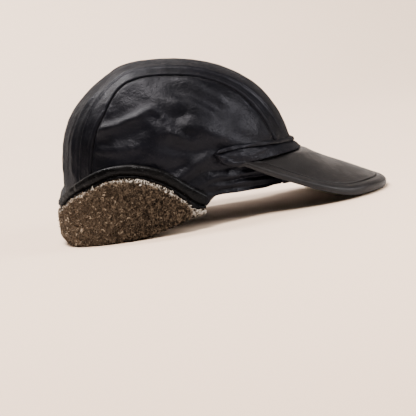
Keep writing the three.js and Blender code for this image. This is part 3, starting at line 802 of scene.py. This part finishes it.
def bandRelief(stop, pace, z):
    # lengthwise creases and a little unevenness on the outer face, more at the temples
    outerFace = smoothStep(0.06, 0.12, pace) * smoothStep(0.62, 0.5, pace)
    q = np.stack([np.full_like(pace, stop * 1.6), z * 3.2, 0 * pace], 1)
    temple = bandLook["templeCreases"] * smoothStep(*bandLook["temple"], abs(stop))
    long = (bandLook["creases"] + temple) * softNoise(q, 17, 41)
    return outerFace * (long + temple * softNoise(q, 8, 43) + bandLook["fineCreases"] * softNoise(q, 6, 42))


band = sweep("frontBand", bandLook, bandSection, bandRelief)
stand(band, "front_band", crownLeather)

peakLookForm = {
    "columns": 200, "rows": 90, "thick": 3.6, "tipX": 196, "tipExtra": 2.2, "widestX": 112, "widestAt": 0.34,
    "halfWidth": 84, "frontCurve": 2.28, "rootZ": 28.5, "rootX": 107, "slope": 0.27, "arch": 0.0036,
    "tipArch": 0.0024, "droop": 0.0018, "droopX": 150, "endAngle": 64, "rootOut": -0.6, "rootRise": 4.4,
    "riseReach": 25, "cornerOut": 3.9, "settle": 5, "short": 14, "waves": 0.22,
    "groove": 9.6, "stitchDepth": 1.3, "riseSides": (42, 82), "tipArchFrom": (148, 190), "bunch": 0.045,
    "rootDown": 0.6, "fitShare": 0.8, "thinnest": 0.55, "tipExtraFrom": (120, 180), "wavesFrom": (112, 140),
}


def peakZ(x, y):
    p = peakLookForm
    past = np.maximum(0, x - p["droopX"])
    rise = p["rootRise"] * bell(np.maximum(0, x - p["rootX"]), p["riseReach"])
    rise = rise * (1 - smoothStep(*p["riseSides"], np.abs(y)))
    arch = p["arch"] + (p["tipArch"] - p["arch"]) * smoothStep(*p["tipArchFrom"], x)
    return p["rootZ"] - p["slope"] * (x - p["rootX"]) - arch * y * y - p["droop"] * past * past + rise


def offWall(angle, z, out):
    base = wallPoint(np.atleast_1d(float(angle)), np.atleast_1d(float(z)))
    return (base + crownNormal(base) * out)[0]


peakCorner = offWall(peakLookForm["endAngle"], float(ring("bandFoot", peakLookForm["endAngle"])),
                     peakLookForm["cornerOut"])


def peakEdge(t):
    # plan of the peak's edge from the right corner (0) over the tip (0.5) to the left (1)
    p = peakLookForm
    near, side = (t * 2, -1) if t <= 0.5 else ((1 - t) * 2, 1)
    shift = p["widestAt"]
    if near < shift:
        f = near / shift
        width = -peakCorner[1] + (p["halfWidth"] + peakCorner[1]) * (1 - (1 - f) ** 2)
        return np.array([peakCorner[0] + (p["widestX"] - peakCorner[0]) * f, side * width])
    a = math.radians(90 * (near - shift) / (1 - shift))
    m = 2 / p["frontCurve"]
    return np.array([p["widestX"] + (p["tipX"] - p["widestX"]) * math.sin(a) ** m,
                     side * p["halfWidth"] * max(math.cos(a), 0.0) ** m])


# section of the peak from the root, over the groove and the rolled border, and back underneath:
# how far in from the edge, how high, and how much of the tip's extra thickness each corner takes
peakSection = {
    "inset": [14, 11.5, 10.5, 10.25, 10.1, 9.0, 8.1, 7.2, 6.5, 5.9, 4.4, 2.2, 0.8, 0.2, 0, 0.5, 1.3, 3.1, 6,
              9.5, 14],
    "height": [0, 0, 0.05, -0.25, -1.8, -1.6, 0.1, 0.45, 0.4, 0.5, 0.65, 0.65, 0.3, -0.4, -1.6, -3.6, -4.8,
               -5.8, -5.4, -4.3, -3.6],
    "extra": [0, 0, 0, 0, 0, 0, 0, 0, 0, 0, 0, 0.1, 0.2, 0.4, 0.6, 0.8, 1, 1, 0.9, 0.7, 0.5],
    "far": [0.93, 0.85, 0.7, 0.52, 0.35],
    "rowKeys": ([0, 5, 6, 25, 26, 30], [0, 0.17, 0.19, 0.84, 0.88, 1]),
}


def makePeak():
    p, section = peakLookForm, peakSection
    piece, u, v = addGrid("peakShell", p["columns"], p["rows"])
    column, row = gridStops(u), gridStops(v)
    count, steps = column.max() + 1, row.max() + 1
    place = np.zeros((count, steps, 3))
    grooveLine = []
    for i in range(count):
        t = i / (count - 1)
        edge = peakEdge(t - p["bunch"] * math.sin(4 * math.pi * t))
        turn = p["endAngle"] * (1 - 2 * t)
        side, bend = 1 if turn >= 0 else -1, abs(turn)
        foot = float(ring("bandFoot", bend)) - p["rootDown"]
        root = offWall(bend, foot, p["rootOut"]) * [1, side, 1]
        run = root[:2] - edge
        length = np.linalg.norm(run)
        fit = min(1.0, p["fitShare"] * length / p["short"])
        thin = p["thinnest"] + (1 - p["thinnest"]) * fit
        short = bell(length, p["short"])
        lift = root[2] - float(peakZ(root[0], root[1]))

        def upperSide(f):
            # points at shares of the way from the edge to the root
            x, y = edge[0] + run[0] * f, edge[1] + run[1] * f
            settled = bell(length * (1 - f), p["settle"])
            return np.stack([x, y, peakZ(x, y) + lift * (short * f ** 3 + (1 - short) * settled)], -1)

        rootUnder = offWall(bend, foot - p["thick"] * thin, p["rootOut"]) * [1, side, 1]
        extra = p["tipExtra"] * float(smoothStep(*p["tipExtraFrom"], edge[0]))
        inset, high = np.array(section["inset"]) * fit, np.array(section["height"])
        high = np.where(high > 0, high * fit, high * thin)
        far = np.array(section["far"]) * (length - inset[0]) + inset[0]
        inset = np.concatenate([far, inset, far[[4, 2]]])
        high = np.concatenate([[0] * 5, high, [-p["thick"] * thin] * 2])
        drop = np.concatenate([[0] * 5, section["extra"], [0.3, 0.1]]) * extra
        skin = upperSide(inset / length)
        skin[:, 2] = skin[:, 2] + high - drop
        path = np.concatenate([[root], skin, [rootUnder], [root]])
        reach = runOf(path)
        # most of the rows go to the groove and the border
        key = np.interp(np.arange(len(path)), *section["rowKeys"])
        at = np.interp(np.linspace(0, 1, steps), key, reach)
        place[i] = np.stack([curveThrough(reach, path[:, k], at) for k in range(3)], 1)
        place[i, -1] = place[i, 0]
        grooveLine.append(upperSide(p["groove"] * fit / length) - [0, 0, p["stitchDepth"]])
    q = place[column, row]
    flat, away = q * [1, 1, 0], np.hypot(q[:, 0], q[:, 1])
    q[:, 2] += p["waves"] * softNoise(flat, 60, 51) * smoothStep(*p["wavesFrom"], away)
    writeVertices(piece, aboveFloor(rest(q)))
    closeTube(piece)
    stand(piece, "peak", peakLitLeather)
    return np.array(grooveLine)


peakGroove = makePeak()
print("band and peak done")
flapForm = {"base": 1.4, "leather": 1.5, "gap": 0.3, "backOut": 1.6, "backFrom": (140, 170)}
bindingLook = {"columns": 420, "rows": 60, "span": (80, 280), "lipUp": 0.9, "sewnAt": 0.78, "pucker": 0.42}


def flapBack(turn):
    # 0 at the sides of the flap, 1 round its back
    return smoothStep(*flapForm["backFrom"], turn)


def grooveAt(turn):
    # the sewn line of the binding, most of the way from its lip to the leather's edge
    lip, groove = ring("fleeceTop", turn) + bindingLook["lipUp"], ring("groove", turn)
    return lip + (groove - lip) * bindingLook["sewnAt"]


def bindingSection(turn):
    # from the lip over the sewn groove and the fat roll to the top, and down behind
    top, lip = float(ring("flapTop", turn)), float(ring("fleeceTop", turn)) + bindingLook["lipUp"]
    groove, base = grooveAt(turn), flapForm["base"]
    lipBack = base + flapForm["leather"] + flapForm["gap"]
    front = lipBack + flapForm["backOut"] * float(flapBack(turn))
    tall = top - groove
    return [
        (lipBack, lip), (front + 0.9, lip - 0.1), (front + 1.4, lip + 0.5),
        (front + 1.5, (lip + groove) / 2), (front + 0.9, groove - 0.35), (front + 0.1, groove),
        (front + 1.4, groove + 0.07 * tall), (front + 2.8, groove + 0.24 * tall),
        (front + 3.3, groove + 0.5 * tall), (front + 2.9, groove + 0.78 * tall),
        (front + 1.6, groove + 0.96 * tall), (front, top), (base + 0.9, top - 0.3),
        (base, groove + 0.85 * tall), (base, groove + 0.5 * tall), (base + 0.3, groove + 0.15 * tall),
        (lipBack, groove), (lipBack, (lip + groove) / 2), (lipBack, lip),
    ]


def bindingRelief(stop, pace, z):
    # the leather is gathered a little along the groove and over the roll
    outer = smoothStep(0.02, 0.07, pace) * smoothStep(0.56, 0.48, pace)
    groove = float(grooveAt(aroundCap(stop)[0]))
    gathers, rolls = (np.stack([np.full_like(pace, stop * 1.5), z * high, 0 * pace], 1)
                      for high in (0.55, 1.5))
    pucker = softNoise(gathers, 5.5, 61) * bell(z - groove, 5) + 0.55 * softNoise(rolls, 15, 62)
    return outer * bindingLook["pucker"] * pucker


binding = sweep("flapBinding", bindingLook, bindingSection, bindingRelief)
stand(binding, "flap_binding", flapLeather)
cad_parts["flap_leather"].data.materials.clear()
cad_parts["flap_leather"].data.materials.append(flapLeather)
print("binding done")

fleeceLook = {"columns": 330, "rows": 110, "span": (80, 280), "thick": 7.7, "thinner": 0.9, "inner": 6.5,
              "innerHeight": 18, "inside": -3.0, "endShare": 0.38, "endFrom": (84.5, 89.5), "lumps": 0.75}


def fleeceSides(turn):
    # the fleece's section in two lists: its woolly side from the top edge to the inner end, and its back
    look = fleeceLook
    near, inside = flapForm["base"] + flapForm["leather"] + 0.8, look["inside"]
    full = look["endShare"] + (1 - look["endShare"]) * float(smoothStep(*look["endFrom"], turn))
    out = near + look["thick"] * full - look["thinner"] * float(flapBack(turn))
    inThick = look["inner"] * full
    top, fold = float(ring("fleeceTop", turn)), float(ring("fold", turn))
    rim = min(float(ring("rim", turn)), top - 1)
    tall, leg, thick = top - fold, top - rim, out - near
    high = rim + look["innerHeight"] * full
    deep = min(rim - 0.8, fold + 6)
    middle = (near + inside) / 2
    shift = min(4.0, tall * 0.3)
    outer = [
        (near + thick * 0.3, top + 0.2), (near + thick * 0.7, top - shift * 0.1),
        (near + thick * 0.93, top - shift * 0.45), (out, top - shift), (out, top - tall * 0.55),
        (near + thick * 0.93, fold + tall * 0.22), (near + thick * 0.66, fold + tall * 0.07),
        (near + thick * 0.15, fold), (middle - inThick * 0.3, fold + 0.8),
        (inside - inThick * 0.75, fold + 3.2), (inside - inThick, rim + 3),
        (inside - inThick, high - 4 * full), (inside - inThick * 0.5, high),
    ]
    inner = [
        (inside, high - 0.5), (inside, high - 4 * full), (inside, rim + 3), (inside + 0.8, deep - 0.4),
        (middle, deep - 0.7), (near - 1.2, deep - 0.5), (near, rim), (near, top - leg * 0.5), (near, top),
    ]
    return outer, inner


def fleeceSection(turn):
    outer, inner = fleeceSides(turn)
    return outer + inner + outer[:1]


# the pale cut edge of the wool: how far down it reaches, less at the back, and the tuft at its front corner
cutLook = {"ragged": 0.9, "backShift": 2.6, "backFrom": (118, 148), "deep": (2.2, 0.6), "tuft": 0.8,
           "tuftFrom": (87.5, 85.5)}


def cutEdge(q):
    angle = planOf(q[:, 0], q[:, 1])
    depth = ring("fleeceTop", angle) - q[:, 2] + cutLook["ragged"] * softNoise(q, 5, 73)
    depth = depth - cutLook["backShift"] * smoothStep(*cutLook["backFrom"], angle)
    tuft = cutLook["tuft"] * smoothStep(*cutLook["tuftFrom"], angle)
    return np.maximum(smoothStep(*cutLook["deep"], depth), tuft)


def makeFleece():
    piece = sweep("flapFleece", fleeceLook, fleeceSection)
    q, n = readVertices(piece), readVertices(piece, "normal")
    lumps = np.abs(softNoise(q * 1000, 7, 71)) + 0.6 * np.abs(softNoise(q * 1000, 4, 72))
    q = aboveFloor(q + n * (fleeceLook["lumps"] * (lumps - 0.9))[:, None] / 1000)
    writeVertices(piece, q)
    markVertices(piece, "lockEdge", cutEdge(unrest(q)))
    return piece


fleeceBase = makeFleece()
print("fleece base done")

lockLook = {"radius": 0.74, "length": 4.0, "rings": 6, "sides": 4, "hook": 2.7, "sunk": 0.6, "slim": 0.72,
            "slimPace": 1.6, "twist": 0.4, "tipShort": 0.55, "clump": 5.5, "scatter": 0.22, "drift": 0.45,
            "jitter": 0.42, "rowJitter": 0.45, "spread": (0.8, 1.2)}


def lockTemplate():
    # one hooked curl of wool, in mm, standing on the origin
    look = lockLook
    rings, sides = look["rings"], look["sides"]
    points, tips, faces = [], [], []
    centre, lean = np.array([0.0, 0.0, -look["sunk"]]), 0.0
    pace = look["length"] / (rings - 1)
    for r in range(rings):
        share = r / (rings - 1)
        wide = look["radius"] * (1.0 - look["slim"] * share ** look["slimPace"])
        across = np.array([math.cos(lean), 0, -math.sin(lean)])
        for s in range(sides):
            a = 2 * math.pi * s / sides + look["twist"] * r
            points.append(centre + across * wide * math.cos(a) + np.array([0, wide * math.sin(a), 0]))
            tips.append(share)
        along = np.array([math.sin(lean), 0, math.cos(lean)])
        centre = centre + along * pace
        lean += look["hook"] / (rings - 1)
    for r in range(rings - 1):
        for s in range(sides):
            a, b = r * sides + s, r * sides + (s + 1) % sides
            faces.append((a, b, b + sides, a + sides))
    points.append(centre - along * pace * look["tipShort"])
    tips.append(1.0)
    end = (rings - 1) * sides
    faces += [(end + s, end + (s + 1) % sides, rings * sides) for s in range(sides)]
    return np.array(points), np.array(tips), faces


def alongLine(at, run, line):
    return np.stack([np.interp(at, run, line[:, k]) for k in range(3)], -1)


def fleeceSpots(fromStop, toStop, part, spacing, seed):
    # jittered rows of spots over a part of the fleece's woolly side, with their outward ways
    rng = np.random.default_rng(seed)
    spots, ways = [], []
    stop = fromStop
    while stop < toStop:
        turn, side = aroundCap(stop)
        out, z = smoothPath(fleeceSides(turn)[0], np.linspace(0, 1, 160))
        base = wallPoint(np.full(len(z), turn), z)
        q = (base + crownNormal(base) * out[:, None]) * [1, side, 1]
        run = runOf(q)
        at = np.arange(part[0] * run[-1] + rng.uniform(0, spacing), part[1] * run[-1], spacing)
        at = at + rng.uniform(-lockLook["jitter"], lockLook["jitter"], len(at)) * spacing
        if len(at):
            ahead = alongLine(at + 0.5, run, q) - alongLine(at - 0.5, run, q)
            turning = (base[80] - wallPoint(np.array([turn - 0.5]), z[80:81])[0]) * [1, side, 1]
            way = np.cross(ahead, turning * side)
            shove = rng.uniform(-lockLook["rowJitter"], lockLook["rowJitter"], len(at)) * spacing
            spots.append(alongLine(at, run, q) + turning / (np.linalg.norm(turning) + tiny) * shove[:, None])
            ways.append(way / (np.linalg.norm(way, axis=1)[:, None] + tiny))
        heights = np.full(2, float(ring("fleeceTop", turn)) - 10)
        middle, following = wallPoint(np.array([turn, turn + 1.0]), heights)
        stop += spacing / max(np.linalg.norm(following - middle), 0.8)
    return np.concatenate(spots), np.concatenate(ways)


def makeLocks(name, fromStop, toStop, part, spacing, seed, size):
    look = lockLook
    spots, ways = fleeceSpots(fromStop, toStop, part, spacing, seed)
    points, tips, faces = lockTemplate()
    rng = np.random.default_rng(seed + 1)
    count, step = len(spots), len(points)
    drift = np.stack([softNoise(spots, look["clump"], seed + k) for k in (2, 3, 4)], 1)
    ways = ways + rng.normal(0, look["scatter"], (count, 3)) + look["drift"] * drift
    ways /= np.linalg.norm(ways, axis=1)[:, None]
    helper = np.where(np.abs(ways[:, :1]) < 0.8, np.array([[1.0, 0, 0]]), np.array([[0, 1.0, 0]]))
    across = np.cross(ways, helper)
    across /= np.linalg.norm(across, axis=1)[:, None]
    spin = rng.uniform(0, 2 * math.pi, count)
    first = across * np.cos(spin)[:, None] + np.cross(ways, across) * np.sin(spin)[:, None]
    lump = softNoise(spots, look["clump"] * 0.8, seed + 5)
    scale = size * (1.0 + 0.22 * lump) * rng.uniform(*look["spread"], count)
    scale = scale * (1 - 0.1 * smoothStep(87, 84, planOf(spots[:, 0], spots[:, 1])))
    slim = rng.uniform(*look["spread"], count)[:, None]
    axes = np.stack([first * slim, np.cross(ways, first) * slim, ways], 1)  # of every curl
    laid = spots[:, None, :] + np.einsum("pk,nkd->npd", points, axes) * scale[:, None, None]
    piece = copiesOf(name, aboveFloor(rest(laid.reshape(-1, 3))), faces, count)
    tone = np.clip(0.55 * rng.uniform(0, 1, count) + 0.45 * (0.5 + 0.7 * lump), 0, 1)
    markVertices(piece, "lockTip", np.tile(tips, count))
    markVertices(piece, "lockTone", np.repeat(tone, step))
    markVertices(piece, "lockEdge", np.repeat(cutEdge(spots), step))
    return piece


def attribute(tree, name):
    node = tree.nodes.new("ShaderNodeAttribute")
    node.attribute_name = name
    return node.outputs["Fac"]


woolLook = {"deep": (0.017, 0.0105, 0.0065), "body": (0.118, 0.086, 0.058), "tip": (0.28, 0.222, 0.16),
            "cut": (0.47, 0.42, 0.365), "litBack": (0.335, 0.258, 0.188), "litBackDeep": (0.125, 0.087, 0.058),
            "litBackFrom": (-0.07, -0.138), "litBackShare": 0.85, "patches": 70.0, "rough": 0.9, "shine": 0.2,
            "bedRough": 0.95, "bedShine": 0.15, "bedCurls": 420.0, "bedCut": 0.8, "bump": 0.8,
            "bumpDepth": 0.0008}


def woolMaterial():
    # dark at the roots as painted shade among the curls, tan at the tips, paler towards the back as painted
    # light, and pale along the cut edge
    look = woolLook
    material, tree, skin = newMaterial("fleeceWool", look["rough"], look["shine"])
    place = objectPlace(tree)
    tip, tone, edge = attribute(tree, "lockTip"), attribute(tree, "lockTone"), attribute(tree, "lockEdge")
    patches = addRange(tree, addNoise(tree, place, look["patches"], 3.0, 0.6), 0.35, 0.65)
    split = addNode(tree, "ShaderNodeSeparateXYZ", Vector=place)
    # painted light: the wool is made paler towards the back, standing in for light falling on the fibres
    # there
    litBack = addRange(tree, split.outputs["X"], *look["litBackFrom"], 0.0, look["litBackShare"])
    body = mixColour(tree, litBack, look["body"], look["litBack"])
    deep = mixColour(tree, litBack, look["deep"], look["litBackDeep"])
    # painted shade: each curl's colour darkens towards its root, where shade falls among the curls
    low = mixColour(tree, addRange(tree, tip, 0.05, 0.6), deep, body)
    light = addMath(tree, "MULTIPLY", addRange(tree, tone, 0.35, 1.0),
                    addRange(tree, patches, 0, 1, 0.55, 1.0))
    high = mixColour(tree, addMath(tree, "MULTIPLY", addRange(tree, tip, 0.55, 1.0), light), low, look["tip"])
    pale = addMath(tree, "MULTIPLY", edge, addRange(tree, tip, 0.1, 0.8), True)
    feed(tree, mixColour(tree, pale, high, look["cut"]), skin.inputs["Base Color"])
    return material


def woolBaseMaterial():
    look = woolLook
    material, tree, skin = newMaterial("fleeceBed", look["bedRough"], look["bedShine"])
    curls = addNoise(tree, objectPlace(tree), look["bedCurls"], 4.0, 0.7, 1.5)
    # painted shade: the bed under the curls is mottled with the dark root colour
    bed = mixColour(tree, addRange(tree, curls, 0.35, 0.7), look["deep"], look["body"])
    edge = addMath(tree, "MULTIPLY", attribute(tree, "lockEdge"), look["bedCut"])
    feed(tree, mixColour(tree, edge, bed, look["cut"]), skin.inputs["Base Color"])
    addBump(tree, skin, curls, look["bump"], look["bumpDepth"])
    return material


wool = woolMaterial()
stand(fleeceBase, "flap_fleece", woolBaseMaterial(), 80)
for name, low, high, part, spacing, seed, size in (
        ("fleeceLocksRight", 80.5, 180, (0.0, 0.62), 1.8, 81, 1.0),
        ("fleeceLocksLeft", 180, 279.5, (0.0, 0.62), 1.8, 83, 1.0),
        ("fleeceLocksInside", 80.5, 279.5, (0.62, 1.0), 2.5, 85, 1.1)):
    stand(makeLocks(name, low, high, part, spacing, seed, size), None, wool, 80)
print("fleece done")

threadLook = {"length": 2.5, "gap": 1.1, "radius": 0.4, "bevel": 0.22, "above": 0.45, "span": (82, 278),
              "colour": (0.003, 0.0028, 0.003), "fuzz": (0.009, 0.0085, 0.009), "twist": 1800.0,
              "rough": 0.85, "shine": 0.06}


def threadMaterial():
    material, tree, skin = newMaterial("darkThread", threadLook["rough"], threadLook["shine"])
    twist = addNoise(tree, objectPlace(tree), threadLook["twist"], 2.0)
    feed(tree, mixColour(tree, twist, threadLook["colour"], threadLook["fuzz"]), skin.inputs["Base Color"])
    return material


def makeStitches(name, line, material):
    # one stitch modelled and laid end to end along a line of points (mm, as worn)
    look = threadLook
    deselect()
    bpy.ops.mesh.primitive_cylinder_add(vertices=6, radius=1, depth=1, end_fill_type="NGON")
    stitch = bpy.context.object
    editAll(stitch, lambda: bpy.ops.mesh.bevel(offset=look["bevel"], segments=2, affect="EDGES"))
    base = readVertices(stitch)
    faces = [list(p.vertices) for p in stitch.data.polygons]
    bpy.data.objects.remove(stitch, do_unlink=True)
    run = runOf(line)
    pitch = look["length"] + look["gap"]
    count = int(run[-1] / pitch)
    points = []
    for k in range(count):
        a, b = alongLine(k * pitch, run, line), alongLine(k * pitch + look["length"], run, line)
        way = (b - a) / np.linalg.norm(b - a)
        across = np.cross(way, [0.3, 0.2, 1.0])
        across /= np.linalg.norm(across)
        local = (base[:, 0:1] * across + base[:, 1:2] * np.cross(across, way)) * look["radius"]
        points.append((a + b) / 2 + local + base[:, 2:3] * way * look["length"])
    return stand(copiesOf(name, rest(np.concatenate(points)), faces, count), None, material, 60)


def bindingGroove():
    stops = np.linspace(*threadLook["span"], 500)
    turns = np.where(stops <= 180, stops, 360 - stops)
    base = wallPoint(turns, grooveAt(turns))
    out = flapForm["base"] + flapForm["leather"] + flapForm["gap"] + threadLook["above"]
    line = base + crownNormal(base) * (out + flapForm["backOut"] * flapBack(turns))[:, None]
    line[:, 1] *= np.where(stops <= 180, 1, -1)
    return line


thread = threadMaterial()
makeStitches("peakStitches", peakGroove[6:-6], thread)
makeStitches("bindingStitches", bindingGroove(), thread)
print("stitches done")

# floor, light and camera
stage = {"floor": (0.88, 0.68, 0.53), "clouds": 1.4, "cloudDark": 0.97, "bounce": (0.74, 0.68, 0.64),
         "horizon": (3.0, 2.35, 1.9), "farAlong": (0.7, 3.4), "farNear": (-0.8, -2.3), "rough": 0.9,
         "shine": 0.2, "wide": 7.0, "back": 2.6, "front": -2.4, "wall": 3.5, "bend": 1.2}


def floorMaterial():
    # warm paper that sends a neutral light onto the cap, and glows where it meets the backdrop
    material, tree, skin = newMaterial("floorPaper", stage["rough"], stage["shine"])
    place = objectPlace(tree)
    cloud = addRange(tree, addNoise(tree, place, stage["clouds"], 2.0), 0.3, 0.7)
    shown = mixColour(tree, cloud, tuple(stage["cloudDark"] * c for c in stage["floor"]), stage["floor"])
    direct = tree.nodes.new("ShaderNodeLightPath").outputs["Is Camera Ray"]
    feed(tree, mixColour(tree, direct, stage["bounce"], shown), skin.inputs["Base Color"])
    split = addNode(tree, "ShaderNodeSeparateXYZ", Vector=place)
    along = addRange(tree, addMath(tree, "ABSOLUTE", split.outputs["X"]), *stage["farAlong"])
    nearer = addRange(tree, split.outputs["Y"], *stage["farNear"])
    far = addMath(tree, "MULTIPLY", addMath(tree, "MAXIMUM", along, nearer), direct)
    feed(tree, mixColour(tree, far, (0.0, 0.0, 0.0), stage["horizon"]), skin.inputs["Emission Color"])
    skin.inputs["Emission Strength"].default_value = 1.0
    return material


def makeStage():
    # a sheet of paper that rises in a bend behind the cap
    deselect()
    bpy.ops.mesh.primitive_plane_add(size=1)
    floor = bpy.context.object
    floor.name = "floor"
    corners = floor.data.vertices

    def editEdges(chosen, step):
        bpy.ops.object.mode_set(mode="EDIT")
        bpy.ops.mesh.select_mode(type="EDGE")
        bpy.ops.mesh.select_all(action="DESELECT")
        bpy.ops.object.mode_set(mode="OBJECT")
        for edge in floor.data.edges:
            edge.select = all(chosen(floor.data.vertices[i].co) for i in edge.vertices)
        bpy.ops.object.mode_set(mode="EDIT")
        step()
        bpy.ops.object.mode_set(mode="OBJECT")

    for corner in corners:
        corner.co.x *= stage["wide"]
        corner.co.y = stage["back"] if corner.co.y > 0 else stage["front"]
    editEdges(lambda co: co.y > 0, lambda: bpy.ops.mesh.extrude_region_move(
        TRANSFORM_OT_translate={"value": (0, 0, stage["wall"])}))
    editEdges(lambda co: abs(co.y - stage["back"]) < 0.01 and co.z < 0.01,
              lambda: bpy.ops.mesh.bevel(offset=stage["bend"], segments=24, affect="EDGES"))
    smooth(floor, 60)
    floor.data.materials.append(floorMaterial())


makeStage()

lights = [
    {"name": "topSoftbox", "at": (-0.28, -0.6, 1.55), "aim": (0.0, 0.0, 0.05), "size": (0.9, 0.7),
     "power": 64.0, "colour": (1.0, 0.92, 0.84)},
    {"name": "sideSoftbox", "at": (1.3, -0.8, 0.8), "aim": (0.0, 0.0, 0.08), "size": (0.8, 0.8),
     "power": 32.0, "colour": (1.0, 0.95, 0.9)},
    {"name": "wallWash", "at": (-1.0, 1.0, 2.3), "aim": (-0.2, 2.6, 0.5), "size": (1.6, 0.8),
     "power": 195.0, "colour": (1.0, 0.96, 0.93)},
]
for item in lights:
    data = bpy.data.lights.new(item["name"], "AREA")
    data.shape = "RECTANGLE"
    data.size, data.size_y = item["size"]
    data.energy = item["power"]
    data.color = item["colour"]
    lamp = bpy.data.objects.new(item["name"], data)
    bpy.context.scene.collection.objects.link(lamp)
    way = np.array(item["aim"]) - np.array(item["at"])
    lamp.location = item["at"]
    lamp.rotation_mode = "QUATERNION"
    lamp.rotation_quaternion = Vector(way).to_track_quat("-Z", "Y")

room = {"seen": (3.4, 2.65, 2.15), "glow": (0.62, 0.59, 0.58), "glowStrength": 0.18}


def makeRoom():
    # a dim even glow on the cap, with a pale backdrop where the floor ends
    world = bpy.data.worlds.new("room")
    bpy.context.scene.world = world
    world.use_nodes = True
    tree = world.node_tree
    glow = tree.nodes["Background"]
    glow.inputs["Color"].default_value = (*room["glow"], 1)
    glow.inputs["Strength"].default_value = room["glowStrength"]
    seen = tree.nodes.new("ShaderNodeBackground")
    seen.inputs["Color"].default_value = (*room["seen"], 1)
    either = tree.nodes.new("ShaderNodeMixShader")
    tree.links.new(tree.nodes.new("ShaderNodeLightPath").outputs["Is Camera Ray"], either.inputs["Fac"])
    tree.links.new(glow.outputs[0], either.inputs[1])
    tree.links.new(seen.outputs[0], either.inputs[2])
    tree.links.new(either.outputs[0], tree.nodes["World Output"].inputs["Surface"])


makeRoom()

# the camera stands where the photographer did, seen from the worn cap
cameraLook = {"azimuth": -6.0, "elevation": 6.0, "distance": 1500.0, "mmPerPixel": 0.93,
              "originPixel": (176, 178), "pixels": 416, "sensor": 36, "clip": (0.05, 30)}


def makeCamera():
    c = cameraLook
    a, e = math.radians(c["azimuth"]), math.radians(c["elevation"])
    back = np.array([math.sin(a) * math.cos(e), -math.cos(a) * math.cos(e), math.sin(e)])
    right = np.array([math.cos(a), math.sin(a), 0])
    up = np.cross(back, right)
    middle = c["pixels"] / 2
    spot = ((middle - c["originPixel"][0]) * right + (c["originPixel"][1] - middle) * up) * c["mmPerPixel"]
    spot = spot + c["distance"] * back
    data = bpy.data.cameras.new("photoCamera")
    data.sensor_width = c["sensor"]
    data.lens = c["sensor"] * c["distance"] / c["mmPerPixel"] / c["pixels"]
    data.clip_start, data.clip_end = c["clip"]
    camera = bpy.data.objects.new("photoCamera", data)
    bpy.context.scene.collection.objects.link(camera)
    camera.location = rest(spot[None, :])[0]
    camera.rotation_mode = "QUATERNION"
    camera.rotation_quaternion = Matrix(tipped(np.array([right, up, back])).T.tolist()).to_quaternion()
    bpy.context.scene.camera = camera


makeCamera()
